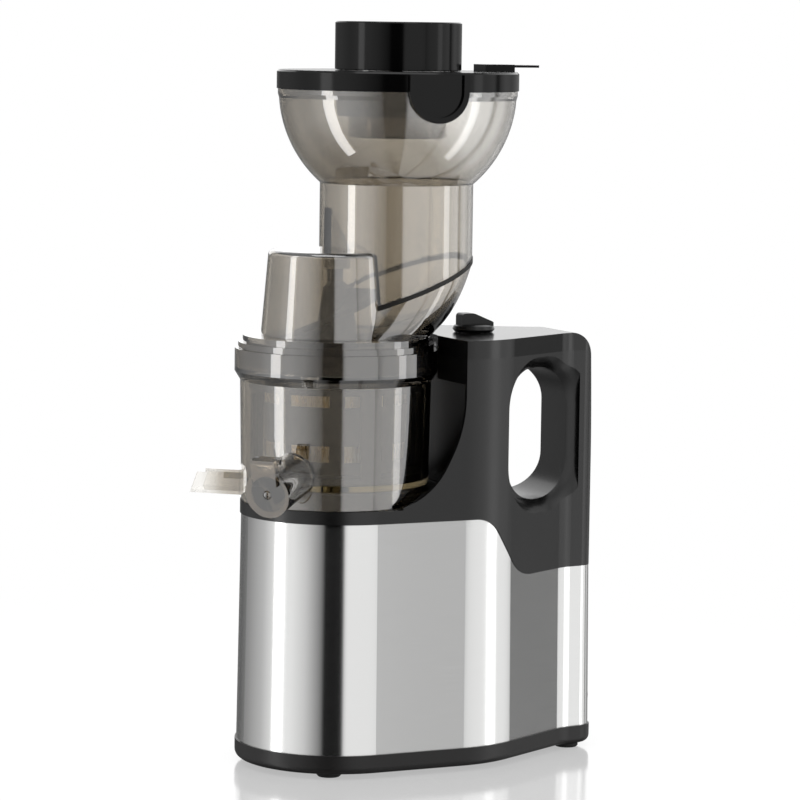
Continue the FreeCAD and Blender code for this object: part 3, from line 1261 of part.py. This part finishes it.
def elbow_outside():
    front = HOPPER_AXIS - CHUTE_RADIUS
    rear = HOPPER_AXIS + CHUTE_RADIUS
    foot = LID_DECK_RADIUS - 0.7
    sections = [
        oval((front, seam_height(front)), (rear, seam_height(rear)), CHUTE_RADIUS),
        oval((front - 4, LID_DECK + 8), (rear - 8.5, LID_DECK + 28), CHUTE_RADIUS - 0.2),
        oval((front - 8, LID_DECK + 3.5), (rear - 20, LID_DECK + 10), CHUTE_RADIUS - 1.4),
        oval((front - 12, LID_DECK - 1), (foot, LID_DECK - 1), CHUTE_RADIUS - 3.4),
    ]
    return Part.makeLoft(sections, True, False)


def elbow_inside():
    front = HOPPER_AXIS - CHUTE_RADIUS + CLEAR_WALL
    rear = HOPPER_AXIS + CHUTE_RADIUS - CLEAR_WALL
    radius = CHUTE_RADIUS - CLEAR_WALL
    sections = [
        oval((front, seam_height(front, SEAT_GAP)), (rear, seam_height(rear, SEAT_GAP)), radius),
        oval((front - 4, LID_DECK + 7), (rear - 8.5, LID_DECK + 26), radius - 0.4),
        oval((front - 8, LID_DECK + 3), (rear - 23, LID_DECK + 9), radius - 2.6),
        oval((front - 12, LID_DECK - 5), (THROAT_RADIUS - 1, LID_DECK - 5), THROAT_RADIUS - 5),
    ]
    return Part.makeLoft(sections, True, False)


def chute_inside():
    """Food space above the seam, where the hat's own wall must not stand in the way."""
    radius = CHUTE_RADIUS - CLEAR_WALL - SEAT_GAP
    bore = cylinder(radius, LID_DECK, HOPPER_TOP - 50, (0, HOPPER_AXIS))
    return bore.common(above_seam(0))


def lid_shell():
    """Lid plate, dome and elbow as one hollow form, before it is parted at the deck."""
    deck_low = LID_STEP_TOP
    throat_low = STRAINER_TOP + 2
    flange = turned([
        (THROAT_RADIUS, deck_low + 1), (SKIRT_RADIUS - CLEAR_WALL, deck_low + 1),
        (SKIRT_RADIUS - CLEAR_WALL, LID_BOTTOM - LID_SKIRT_DEPTH), (SKIRT_RADIUS, LID_BOTTOM - LID_SKIRT_DEPTH),
        (SKIRT_RADIUS, LID_BOTTOM), (LID_STEP_RADIUS, LID_BOTTOM), (LID_STEP_RADIUS, deck_low),
        (LID_DECK_RADIUS, deck_low), (LID_DECK_RADIUS, LID_DECK), (THROAT_RADIUS, LID_DECK)])
    throat = tube(THROAT_RADIUS + CLEAR_WALL, THROAT_RADIUS, throat_low, LID_DECK - 1)
    shell = flange.fuse(throat).fuse(hat(0)).fuse(elbow_outside())
    shell = shell.cut(hat(CLEAR_WALL)).cut(elbow_inside())
    shell = shell.cut(cylinder(THROAT_RADIUS, throat_low - 1, LID_DECK - 0.5)).cut(chute_inside())
    bridge = block((-BUSH_SEAT_RADIUS, BUSH_SEAT_RADIUS), (-BRIDGE_LENGTH, 0), (HAT_TOP - CLEAR_WALL, HAT_TOP))
    seat = cylinder(BUSH_SEAT_RADIUS, BUSH_LOW, HAT_TOP)
    shell = shell.fuse(bridge.fuse(seat))
    return shell.cut(cylinder(BUSH_OUTER_RADIUS, BUSH_LOW - 1, BUSH_TOP))


def drum_lid():
    return lid_shell().common(block((-100, 100), (-100, 150), (0, LID_DECK)))


def lid_dome():
    return lid_shell().common(block((-100, 100), (-100, 150), (LID_DECK + RUN_GAP, HOPPER_TOP)))


def auger_bush():
    return tube(BUSH_OUTER_RADIUS, AUGER_PIN_RADIUS + RUN_GAP, BUSH_LOW, BUSH_TOP)


def chute_seal():
    ring = tube(CHUTE_RADIUS + 0.5, CHUTE_RADIUS - CLEAR_WALL, LID_DECK, LID_DECK + 70, (0, HOPPER_AXIS))
    return ring.common(above_seam(0)).cut(above_seam(SEAM_THICKNESS)).cut(hat(0))


def hopper():
    centre = (BOWL_CENTRE, HOPPER_TOP)

    def on_bowl(radius, reach):
        drop = math.sqrt(radius ** 2 - (reach - centre[0]) ** 2)
        return (reach, centre[1] - drop)

    inner_radius = BOWL_RADIUS - CLEAR_WALL
    chute_inner = CHUTE_RADIUS - CLEAR_WALL
    outer_neck = on_bowl(BOWL_RADIUS, CHUTE_RADIUS)
    inner_neck = on_bowl(inner_radius, chute_inner)
    outer_top = on_bowl(BOWL_RADIUS, BOWL_REACH - 0.2)
    inner_top = on_bowl(inner_radius, BOWL_REACH - CLEAR_WALL - 0.2)
    shell = turned([
        (chute_inner, LID_DECK), (CHUTE_RADIUS, LID_DECK), outer_neck,
        (on_bowl(BOWL_RADIUS, (CHUTE_RADIUS + BOWL_REACH) / 2), outer_top), (RIM_RADIUS, HOPPER_TOP - RIM_HEIGHT),
        (RIM_RADIUS, HOPPER_TOP), (inner_top[0], HOPPER_TOP), inner_top,
        (on_bowl(inner_radius, (chute_inner + BOWL_REACH) / 2), inner_neck)], (0, HOPPER_AXIS))
    shell = shell.common(above_seam(SEAM_THICKNESS)).cut(hat(0))
    front = HOPPER_AXIS - chute_inner - 1
    rib = side_prism([(front, HAT_TOP, 0), (front + RIB_LENGTH, HAT_TOP, 0), (front, HAT_TOP + RIB_HEIGHT, 0)],
                     RIB_HALF_WIDTH)
    return joined([shell, rib])


def hopper_cover():
    top = COVER_TOP
    skirt_outer = COVER_BORE + CLEAR_WALL
    ring = turned([
        (COVER_BORE, COVER_BOTTOM - COVER_SKIRT), (skirt_outer, COVER_BOTTOM - COVER_SKIRT),
        (skirt_outer, top - COVER_WALL), (COVER_RADIUS - COVER_WALL, top - COVER_WALL),
        (COVER_RADIUS - COVER_WALL, COVER_BOTTOM), (COVER_RADIUS, COVER_BOTTOM),
        (COVER_RADIUS, top - 1.2), (COVER_RADIUS - 1.2, top), (COVER_BORE, top)], (0, HOPPER_AXIS))
    lip_radius = BOWL_REACH - CLEAR_WALL - 2 * SEAT_GAP
    lip = tube(lip_radius, lip_radius - 2, COVER_BOTTOM - COVER_LIP_DEPTH, top - 1, (0, HOPPER_AXIS))
    rear = HOPPER_AXIS + COVER_RADIUS
    tab_base = block((-TAB_HALF_WIDTH, TAB_HALF_WIDTH), (rear - TAB_ROOT, rear + TAB_THICKNESS),
                     (top - 1, top + TAB_RISE))
    plate_top = top + TAB_RISE - SEAT_GAP
    tab_plate = block((-TAB_HALF_WIDTH, TAB_HALF_WIDTH), (rear - TAB_ROOT / 2, rear + TAB_LENGTH),
                      (plate_top - TAB_THICKNESS, plate_top))
    return joined([ring, lip, tab_base, tab_plate, cover_lug()])


def cover_lug():
    """Half-round finger lug that hangs from the rim, with a raised border."""
    inner = RIM_RADIUS + SEAT_GAP
    outer = COVER_RADIUS + LUG_PROUD

    def drop(radius, start, end):
        half_disc = Part.makeCylinder(radius, end - start, Vector(start, 0, COVER_BOTTOM), Vector(1, 0, 0))
        below = block((start, end), (-radius, radius), (COVER_BOTTOM - radius, COVER_BOTTOM))
        upright = block((start, end), (-radius, radius), (COVER_BOTTOM, COVER_TOP - 1.5))
        return half_disc.common(below).fuse(upright)

    lug = drop(LUG_RADIUS, inner, outer).cut(drop(LUG_RADIUS - LUG_BORDER, outer - 2.6, outer + 1))
    return moved(spun(lug, LUG_ANGLE), y=HOPPER_AXIS)


# Pusher
def pusher_cap():
    low = COVER_TOP + SEAT_GAP
    top = low + PUSHER_HEIGHT
    inner = PUSHER_RADIUS - PUSHER_WALL
    return turned([(inner, low), (PUSHER_RADIUS - 0.5, low), (PUSHER_RADIUS, low + 0.5),
                   (PUSHER_RADIUS, top - 0.8), (PUSHER_RADIUS - 0.8, top), (0, top), (0, top - PUSHER_WALL),
                   (inner, top - PUSHER_WALL)], (0, HOPPER_AXIS))


def pusher_stem():
    wall = PUSHER_WALL
    low = COVER_TOP - STEM_DEPTH
    shoulder = COVER_TOP - STEM_GUIDE_DEPTH
    guide = COVER_BORE - 0.5
    top = COVER_TOP + SEAT_GAP + PUSHER_HEIGHT - wall
    return turned([(0, low), (STEM_RADIUS - 1, low), (STEM_RADIUS, low + 1), (STEM_RADIUS, shoulder - 2),
                   (guide, shoulder), (guide, top), (guide - wall, top), (guide - wall, shoulder + wall),
                   (STEM_RADIUS - wall, shoulder - 1), (STEM_RADIUS - wall, low + wall), (0, low + wall)],
                  (0, HOPPER_AXIS))


PIECES = {
    "base_tray": tray,
    "rubber_feet": feet,
    "steel_wrap": steel_wrap,
    "upper_housing": upper_housing,
    "top_cover": top_cover,
    "motor_can": motor_can,
    "stator_core": stator_core,
    "stator_windings": stator_windings,
    "rotor_core": rotor_core,
    "motor_shaft": motor_shaft,
    "motor_pinion": motor_pinion,
    "cooling_fan": cooling_fan,
    "gearbox_case": gearbox_case,
    "gearbox_lid": gearbox_lid,
    "shaft_bearings": shaft_bearings,
    "counter_wheel": counter_wheel,
    "counter_pinion": counter_pinion,
    "counter_shaft": counter_shaft,
    "output_gear": output_gear,
    "drive_shaft": drive_shaft,
    "shaft_seal": shaft_seal,
    "gearbox_screws": gearbox_screws,
    "housing_screws": housing_screws,
    "circuit_board": circuit_board,
    "cord_gland": cord_gland,
    "rotary_switch": rotary_switch,
    "switch_spindle": switch_spindle,
    "control_knob": control_knob,
    "juicing_drum": juicing_drum,
    "juice_spout": juice_spout,
    "pulp_chute": pulp_chute,
    "drum_gasket": drum_gasket,
    "cap_hinge_pin": cap_hinge_pin,
    "juice_cap": juice_cap,
    "cap_plug": cap_plug,
    "strainer_frame": strainer_frame,
    "strainer_mesh": strainer_mesh,
    "brush_frame": brush_frame,
    "wiper_blades": wiper_blades,
    "idler_gear": idler_gear,
    "auger_screw": auger_screw,
    "auger_insert": auger_insert,
    "drum_lid": drum_lid,
    "lid_dome": lid_dome,
    "auger_bush": auger_bush,
    "chute_seal": chute_seal,
    "hopper": hopper,
    "hopper_cover": hopper_cover,
    "pusher_cap": pusher_cap,
    "pusher_stem": pusher_stem,
}


def main():
    os.makedirs("parts", exist_ok=True)
    for name, make in PIECES.items():
        shape = make()
        shape.exportStep("parts/" + name + ".step")
        solids = len(shape.Solids)
        print(name, "solids", solids, "valid", shape.isValid(), "volume", round(shape.Volume))


main()
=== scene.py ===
"""Looks of the cold press juicer: materials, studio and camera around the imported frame.

Lengths are metres in the frame's own axes: +Z up, -Y the front, +Y the handle.
Plan angles are degrees from the front towards +X. Levels and colours run from 0 to 1.
"""

import json
import math

import bpy
from mathutils import Matrix, Vector


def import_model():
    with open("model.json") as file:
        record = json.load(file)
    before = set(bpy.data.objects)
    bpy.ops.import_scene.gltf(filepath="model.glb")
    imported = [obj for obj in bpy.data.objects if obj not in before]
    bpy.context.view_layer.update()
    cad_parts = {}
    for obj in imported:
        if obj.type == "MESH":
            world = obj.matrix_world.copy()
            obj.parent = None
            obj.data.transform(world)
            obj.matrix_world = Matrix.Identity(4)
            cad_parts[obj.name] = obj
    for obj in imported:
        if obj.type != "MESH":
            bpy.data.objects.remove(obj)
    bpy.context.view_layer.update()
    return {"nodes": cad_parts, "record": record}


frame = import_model()
nodes = frame["nodes"]

# Camera: fitted to the photograph's view
CAMERA_SPOT = Vector((2.1468, -0.9544, 0.4865))
CAMERA_AZIMUTH = 65.0
CAMERA_PITCH = 5.98
CAMERA_ROLL = 0.8
LENS_MM = 162.0
SENSOR_MM = 36.0

# Floor
FLOOR_SIZE = 14.0
FLOOR_GLOW = 0.80               # white that no shadow takes away
FLOOR_COLOUR = 0.34             # part that the lamps light, where the shadow shows
FLOOR_SHEEN = 0.45              # share of the mirror image
FLOOR_SHEEN_ROUGHNESS = 0.12
FLOOR_BOUNCE = 0.8              # colour that plain bounced light meets
FLOOR_FADE = (0.22, 0.75)       # distances between which it turns plain white

# Light
AMBIENT = 0.40                  # plain light from all round
LAMP_AIM = Vector((0, 0.04, 0.25))
LAMP_DISTANCE = 2.2
LAMPS = {                       # plan angle, elevation, width and height, watts
    "left_box": (-5.0, -8.0, (0.5, 4.0), 15.0),
    "right_box": (146.0, -8.0, (0.4, 4.0), 6.0),
    "top_box": (60.0, 75.0, (1.6, 1.6), 16.0),
}

# Room that gloss sees: heights are the upward part of a direction
ROOM_GAIN = 1.3
ROOM_LOW = 0.35                 # share of the level that is left below the table
ROOM_DROP = (-0.75, -0.35)      # heights between which the level falls to it
CEILING = 0.75
CEILING_RISE = (0.55, 0.85)     # heights between which the ceiling takes over
BACK_MIDDLE = -120.0            # plan angle of the white backdrop that the floor mirrors
BACK_HALF = 40.0
BACK_RISE = (0.0, 0.05)         # heights between which the backdrop comes in

# Plan angle and level of the room's walls
ROOM = (
    (-180, 0.60), (-172, 0.70), (-158, 0.30), (-96, 0.12), (-84, 0.10), (-76, 0.16),
    (-56, 0.36), (-31, 0.58), (-14, 0.92), (12, 1.00), (29, 0.74), (45, 0.32),
    (49, 0.20), (52, 0.00), (73, 0.00), (76, 0.85), (79, 1.00), (109, 1.00),
    (112, 0.95), (115, 0.50), (117, 0.50), (121, 0.92), (127, 0.97), (162, 1.00),
    (169, 1.00), (171.5, 0.60), (173, 0.12), (176, 0.13), (180, 0.60),
)

# Places where the smoked plastic changes its tint. Distances are from the drum's axis:
# the spouts grow pale there, and so does the rear of the tube and of the bowl.
PALE_REACH = (0.074, 0.090)
PALE_TINT = (0.97, 0.95, 0.91)
FLOOR_BAND = (0.18605, 0.19045)     # heights of the drum's floor, seen edge on
FLOOR_TINT = (0.16, 0.12, 0.05)
COLLAR_BAND = (0.2575, 0.2835)      # heights where collar, skirt and lid plate overlap
COLLAR_TINT = (0.20, 0.175, 0.14)
EDGE_BLEND = 0.35
EDGE_SHARE = 0.45               # share of the tint left where a wall is seen at a slant

# Grain: noise scales, and depths of the relief
BROAD_SCALE = 12.0
CLEAR_SCALE = 9.0
MOULD_SCALE = 900.0
MOULD_RELIEF = (0.25, 0.00002)      # strength and depth
METAL_SCALE = 400.0
METAL_RELIEF = (0.08, 0.00002)
BRUSH_SCALE = 2200.0
BRUSH_STRETCH = (0.02, 0.02, 1.0)
WIRE_SCALE = 700.0
WIRE_STRETCH = (1.0, 1.0, 0.15)
WIRE_RELIEF = (0.4, 0.0001)
WIRE_CONTRAST = (-1.4, 2.4)
WIRE_COLOURS = ((0.62, 0.46, 0.22), (1.0, 0.90, 0.66))


# Node helpers
def new_material(name):
    material = bpy.data.materials.new(name)
    material.use_nodes = True
    tree = material.node_tree
    tree.nodes.clear()
    output = tree.nodes.new("ShaderNodeOutputMaterial")
    return material, tree, output


def new_surface(name, **values):
    """Material with one principled shader; an underscore stands for a space in a name."""
    material, tree, output = new_material(name)
    shader = tree.nodes.new("ShaderNodeBsdfPrincipled")
    for key, value in values.items():
        shader.inputs[key.replace("_", " ")].default_value = value
    tree.links.new(shader.outputs["BSDF"], output.inputs["Surface"])
    return material, tree, shader


def feed(tree, socket, value):
    """Link another node's output to a socket, or set a number or a colour on it."""
    if isinstance(value, bpy.types.NodeSocket):
        tree.links.new(value, socket)
    elif isinstance(value, tuple):
        socket.default_value = (*value, 1)
    else:
        socket.default_value = value


def maths(tree, operation, *values):
    node = tree.nodes.new("ShaderNodeMath")
    node.operation = operation
    for socket, value in zip(node.inputs, values):
        feed(tree, socket, value)
    return node.outputs["Value"]


def object_coordinates(tree, scale=(1.0, 1.0, 1.0)):
    coordinates = tree.nodes.new("ShaderNodeTexCoord")
    mapping = tree.nodes.new("ShaderNodeMapping")
    mapping.inputs["Scale"].default_value = scale
    tree.links.new(coordinates.outputs["Object"], mapping.inputs["Vector"])
    return mapping.outputs["Vector"]


def parts_of(tree, vector):
    node = tree.nodes.new("ShaderNodeSeparateXYZ")
    tree.links.new(vector, node.inputs["Vector"])
    return node.outputs


def length_of(tree, vector):
    node = tree.nodes.new("ShaderNodeVectorMath")
    node.operation = "LENGTH"
    tree.links.new(vector, node.inputs[0])
    return node.outputs["Value"]


def noise(tree, vector, scale, detail=3.0):
    texture = tree.nodes.new("ShaderNodeTexNoise")
    texture.inputs["Scale"].default_value = scale
    texture.inputs["Detail"].default_value = detail
    tree.links.new(vector, texture.inputs["Vector"])
    return texture.outputs["Fac"]


def between(tree, factor, low, high, span=(0.0, 1.0), interpolation="LINEAR"):
    """Value that goes from low to high while the factor crosses the span."""
    spread = tree.nodes.new("ShaderNodeMapRange")
    spread.interpolation_type = interpolation
    spread.inputs["From Min"].default_value, spread.inputs["From Max"].default_value = span
    feed(tree, spread.inputs["To Min"], low)
    feed(tree, spread.inputs["To Max"], high)
    tree.links.new(factor, spread.inputs["Value"])
    return spread.outputs["Result"]


def within(tree, value, span):
    """One inside the span, zero outside it."""
    above = maths(tree, "GREATER_THAN", value, span[0])
    below = maths(tree, "LESS_THAN", value, span[1])
    return maths(tree, "MULTIPLY", above, below)


def colours(tree, factor, first, second):
    mix = tree.nodes.new("ShaderNodeMix")
    mix.data_type = "RGBA"
    feed(tree, mix.inputs["A"], first)
    feed(tree, mix.inputs["B"], second)
    tree.links.new(factor, mix.inputs["Factor"])
    return mix.outputs["Result"]


def darkened(colour, share):
    return tuple(share * channel for channel in colour)


def bump(tree, shader, height, relief):
    node = tree.nodes.new("ShaderNodeBump")
    node.inputs["Strength"].default_value, node.inputs["Distance"].default_value = relief
    tree.links.new(height, node.inputs["Height"])
    tree.links.new(node.outputs["Normal"], shader.inputs["Normal"])


def blend(tree, factor, first, second):
    mix = tree.nodes.new("ShaderNodeMixShader")
    feed(tree, mix.inputs["Fac"], factor)
    tree.links.new(first, mix.inputs[1])
    tree.links.new(second, mix.inputs[2])
    return mix.outputs["Shader"]


# Materials
def moulded(name, colour, roughness, shine=0.5):
    """Opaque plastic or rubber with a faint moulded grain."""
    material, tree, shader = new_surface(name, Specular_IOR_Level=shine)
    vector = object_coordinates(tree)
    broad = noise(tree, vector, BROAD_SCALE)
    feed(tree, shader.inputs["Base Color"], colours(tree, broad, darkened(colour, 0.9), colour))
    feed(tree, shader.inputs["Roughness"], between(tree, broad, roughness * 0.9, roughness * 1.1))
    bump(tree, shader, noise(tree, vector, MOULD_SCALE), MOULD_RELIEF)
    return material


def metal(name, colour, roughness, grain=(1.0, 1.0, 1.0), scale=METAL_SCALE):
    """Metal with a fine grain, stretched along one axis by a small scale there."""
    material, tree, shader = new_surface(name, Metallic=1.0)
    streaks = noise(tree, object_coordinates(tree, grain), scale, 4.0)
    feed(tree, shader.inputs["Base Color"], colours(tree, streaks, darkened(colour, 0.9), colour))
    feed(tree, shader.inputs["Roughness"], between(tree, streaks, roughness * 0.8, roughness * 1.25))
    bump(tree, shader, streaks, METAL_RELIEF)
    return material


def brushed(name, colour, roughness):
    """Sheet steel brushed round the base, so that reflections stretch upright."""
    material, tree, shader = new_surface(name, Metallic=1.0, Anisotropic=1.0, Anisotropic_Rotation=0.25)
    lines = noise(tree, object_coordinates(tree, BRUSH_STRETCH), BRUSH_SCALE, 4.0)
    feed(tree, shader.inputs["Base Color"], colours(tree, lines, darkened(colour, 0.93), colour))
    feed(tree, shader.inputs["Roughness"], between(tree, lines, roughness * 0.9, roughness * 1.1))
    tangent = tree.nodes.new("ShaderNodeTangent")
    tangent.direction_type = "RADIAL"
    tangent.axis = "Z"
    tree.links.new(tangent.outputs["Tangent"], shader.inputs["Tangent"])
    return material


def local_tints(tree, shade):
    """Pale far from the drum's axis, dark in the drum's floor and in its collar."""
    reach = length_of(tree, object_coordinates(tree, (1.0, 1.0, 0.0)))
    height = parts_of(tree, object_coordinates(tree))["Z"]
    inside = maths(tree, "LESS_THAN", reach, PALE_REACH[0])
    plate = maths(tree, "MULTIPLY", within(tree, height, FLOOR_BAND), inside)
    shade = colours(tree, between(tree, reach, 0.0, 1.0, PALE_REACH), shade, PALE_TINT)
    shade = colours(tree, plate, shade, FLOOR_TINT)
    return colours(tree, within(tree, height, COLLAR_BAND), shade, COLLAR_TINT)


def clear_plastic(name, tint, roughness, local=False):
    """Smoked see-through plastic, darker where a wall is seen at a slant."""
    material, tree, shader = new_surface(
        name, Transmission_Weight=1.0, IOR=1.5, Coat_Weight=1.0, Coat_IOR=2.1, Coat_Roughness=0.02)
    broad = noise(tree, object_coordinates(tree), CLEAR_SCALE)
    shade = colours(tree, broad, darkened(tint, 0.95), tint)
    if local:
        shade = local_tints(tree, shade)
    slant = tree.nodes.new("ShaderNodeLayerWeight")
    slant.inputs["Blend"].default_value = EDGE_BLEND
    shade = colours(tree, slant.outputs["Facing"], shade, darkened(tint, EDGE_SHARE))
    feed(tree, shader.inputs["Base Color"], shade)
    feed(tree, shader.inputs["Roughness"], between(tree, broad, roughness * 0.8, roughness * 1.2))
    return material


def gold_mesh(name):
    """Fine upright wires of the strainer screen."""
    material, tree, shader = new_surface(name, Metallic=0.85)
    wires = noise(tree, object_coordinates(tree, WIRE_STRETCH), WIRE_SCALE, 1.0)
    wires = between(tree, wires, *WIRE_CONTRAST)
    feed(tree, shader.inputs["Base Color"], colours(tree, wires, *WIRE_COLOURS))
    feed(tree, shader.inputs["Roughness"], between(tree, wires, 0.25, 0.5))
    bump(tree, shader, wires, WIRE_RELIEF)
    return material


MATERIALS = {
    "dark_plastic": moulded("dark_plastic", (0.014, 0.013, 0.013), 0.34, 0.30),
    "rubber": moulded("rubber", (0.02, 0.02, 0.02), 0.75, 0.3),
    "brushed_steel": brushed("brushed_steel", (0.63, 0.63, 0.625), 0.20),
    "black_plastic": moulded("black_plastic", (0.007, 0.007, 0.007), 0.26, 0.42),
    "cover_plastic": moulded("cover_plastic", (0.007, 0.007, 0.007), 0.16, 0.38),
    "motor_steel": metal("motor_steel", (0.42, 0.43, 0.44), 0.4),
    "core_iron": metal("core_iron", (0.22, 0.22, 0.23), 0.5, (0.05, 0.05, 1.0), 1500.0),
    "winding_copper": metal("winding_copper", (0.75, 0.36, 0.18), 0.35, (1.0, 1.0, 0.2), 800.0),
    "shaft_steel": metal("shaft_steel", (0.75, 0.75, 0.76), 0.2),
    "gear_steel": metal("gear_steel", (0.55, 0.55, 0.56), 0.35),
    "gear_plastic": moulded("gear_plastic", (0.72, 0.70, 0.64), 0.4),
    "gearbox_alloy": metal("gearbox_alloy", (0.6, 0.61, 0.62), 0.45),
    "silicone": moulded("silicone", (0.012, 0.011, 0.010), 0.45, 0.3),
    "screw_steel": metal("screw_steel", (0.6, 0.6, 0.6), 0.3),
    "board": moulded("board", (0.03, 0.16, 0.06), 0.4),
    "switch_plastic": moulded("switch_plastic", (0.05, 0.05, 0.05), 0.4),
    "knob_plastic": moulded("knob_plastic", (0.009, 0.009, 0.009), 0.25, 0.35),
    "smoked_plastic": clear_plastic("smoked_plastic", (0.45, 0.405, 0.335), 0.03, local=True),
    "cap_plastic": clear_plastic("cap_plastic", (0.45, 0.36, 0.25), 0.08),
    "strainer_plastic": moulded("strainer_plastic", (0.018, 0.014, 0.010), 0.3, 0.35),
    "mesh_metal": gold_mesh("mesh_metal"),
    "brush_plastic": moulded("brush_plastic", (0.016, 0.013, 0.010), 0.35, 0.35),
    "auger_plastic": moulded("auger_plastic", (0.014, 0.012, 0.010), 0.35, 0.4),
    "rim_plastic": moulded("rim_plastic", (0.003, 0.003, 0.003), 0.12, 0.18),
    "stem_plastic": clear_plastic("stem_plastic", (0.20, 0.17, 0.15), 0.06),
}


def dress():
    """Give each node the material of its slot in the record."""
    for entry in frame["record"]["subparts"]:
        node = nodes[entry["node"]]
        node.data.materials.clear()
        node.data.materials.append(MATERIALS[entry["material_slot"]])


dress()


# Studio and camera
def floor():
    """White floor that keeps the shadow; gloss looks through it at the room."""
    bpy.ops.mesh.primitive_plane_add(size=FLOOR_SIZE, location=(0, 0, 0))
    plane = bpy.context.object
    plane.name = "floor"
    material, tree, output = new_material("floor")

    def diffuse(level):
        node = tree.nodes.new("ShaderNodeBsdfDiffuse")
        node.inputs["Color"].default_value = (level, level, level, 1)
        return node.outputs["BSDF"]

    def glow(level):
        node = tree.nodes.new("ShaderNodeEmission")
        node.inputs["Strength"].default_value = level
        return node.outputs["Emission"]

    lit = tree.nodes.new("ShaderNodeAddShader")
    tree.links.new(glow(FLOOR_GLOW), lit.inputs[0])
    tree.links.new(diffuse(FLOOR_COLOUR), lit.inputs[1])
    sheen = tree.nodes.new("ShaderNodeBsdfGlossy")
    sheen.inputs["Roughness"].default_value = FLOOR_SHEEN_ROUGHNESS
    near = blend(tree, FLOOR_SHEEN, lit.outputs["Shader"], sheen.outputs["BSDF"])
    reach = length_of(tree, object_coordinates(tree))
    fade = between(tree, reach, 0.0, 1.0, FLOOR_FADE, "SMOOTHSTEP")
    seen = blend(tree, fade, near, glow(1.0))
    rays = tree.nodes.new("ShaderNodeLightPath")
    white = maths(tree, "MAXIMUM", rays.outputs["Is Camera Ray"], rays.outputs["Is Transmission Ray"])
    shown = blend(tree, white, diffuse(FLOOR_BOUNCE), seen)
    through = tree.nodes.new("ShaderNodeBsdfTransparent")
    shown = blend(tree, rays.outputs["Is Glossy Ray"], shown, through.outputs["BSDF"])
    tree.links.new(shown, output.inputs["Surface"])
    plane.data.materials.append(material)


def direction(azimuth, elevation):
    a = math.radians(azimuth)
    e = math.radians(elevation)
    return Vector((math.sin(a) * math.cos(e), -math.cos(a) * math.cos(e), math.sin(e)))


def soft_box(name, azimuth, elevation, size, power):
    """Area lamp that faces the middle of the object."""
    away = direction(azimuth, elevation)
    data = bpy.data.lights.new(name, "AREA")
    data.shape = "RECTANGLE"
    data.size, data.size_y = size
    data.energy = power
    lamp = bpy.data.objects.new(name, data)
    lamp.location = LAMP_AIM + away * LAMP_DISTANCE
    lamp.rotation_euler = away.to_track_quat("Z", "Y").to_euler()
    bpy.context.collection.objects.link(lamp)


def room_level(tree):
    """Level that gloss sees, from the plan angle and the height of its direction."""
    coordinates = tree.nodes.new("ShaderNodeTexCoord")
    parts = parts_of(tree, coordinates.outputs["Generated"])
    height = parts["Z"]
    angle = maths(tree, "ARCTAN2", parts["X"], maths(tree, "MULTIPLY", parts["Y"], -1.0))
    ramp = tree.nodes.new("ShaderNodeValToRGB")
    stops = ramp.color_ramp.elements
    while len(stops) < len(ROOM):
        stops.new(0.5)
    for stop, (degrees, level) in zip(stops, ROOM):
        stop.position = degrees / 360 + 0.5
        stop.color = (level, level, level, 1)
    turn = maths(tree, "ADD", maths(tree, "DIVIDE", angle, 2 * math.pi), 0.5)
    tree.links.new(turn, ramp.inputs["Fac"])
    off_middle = maths(tree, "ABSOLUTE", maths(tree, "SUBTRACT", angle, math.radians(BACK_MIDDLE)))
    behind = maths(tree, "LESS_THAN", off_middle, math.radians(BACK_HALF))
    backdrop = maths(tree, "MULTIPLY", behind, between(tree, height, 0.0, 1.0, BACK_RISE))
    level = maths(tree, "MAXIMUM", ramp.outputs["Color"], backdrop)
    drop = between(tree, height, ROOM_LOW, 1.0, ROOM_DROP)
    walls = maths(tree, "MULTIPLY", level, maths(tree, "MULTIPLY", drop, ROOM_GAIN))
    return between(tree, height, walls, CEILING, CEILING_RISE)


def world():
    """Plain light for the object, white behind it, and the room for its gloss."""
    setting = bpy.data.worlds.new("studio")
    bpy.context.scene.world = setting
    setting.use_nodes = True
    tree = setting.node_tree
    tree.nodes.clear()

    def background(level):
        node = tree.nodes.new("ShaderNodeBackground")
        node.inputs["Color"].default_value = (1, 1, 1, 1)
        feed(tree, node.inputs["Strength"], level)
        return node.outputs["Background"]

    rays = tree.nodes.new("ShaderNodeLightPath")
    shown = blend(tree, rays.outputs["Is Glossy Ray"], background(AMBIENT), background(room_level(tree)))
    white = maths(tree, "MAXIMUM", rays.outputs["Is Camera Ray"], rays.outputs["Is Transmission Ray"])
    shown = blend(tree, white, shown, background(1.0))
    output = tree.nodes.new("ShaderNodeOutputWorld")
    tree.links.new(shown, output.inputs["Surface"])


def camera():
    data = bpy.data.cameras.new("camera")
    data.lens = LENS_MM
    data.sensor_width = SENSOR_MM
    eye = bpy.data.objects.new("camera", data)
    away = direction(CAMERA_AZIMUTH, CAMERA_PITCH)
    turn = away.to_track_quat("Z", "Y").to_matrix().to_4x4()
    roll = Matrix.Rotation(math.radians(CAMERA_ROLL), 4, "Z")
    eye.matrix_world = Matrix.Translation(CAMERA_SPOT) @ turn @ roll
    bpy.context.collection.objects.link(eye)
    bpy.context.scene.camera = eye


floor()
world()
for lamp_name, settings in LAMPS.items():
    soft_box(lamp_name, *settings)
camera()
bpy.context.scene.view_settings.view_transform = "Standard"
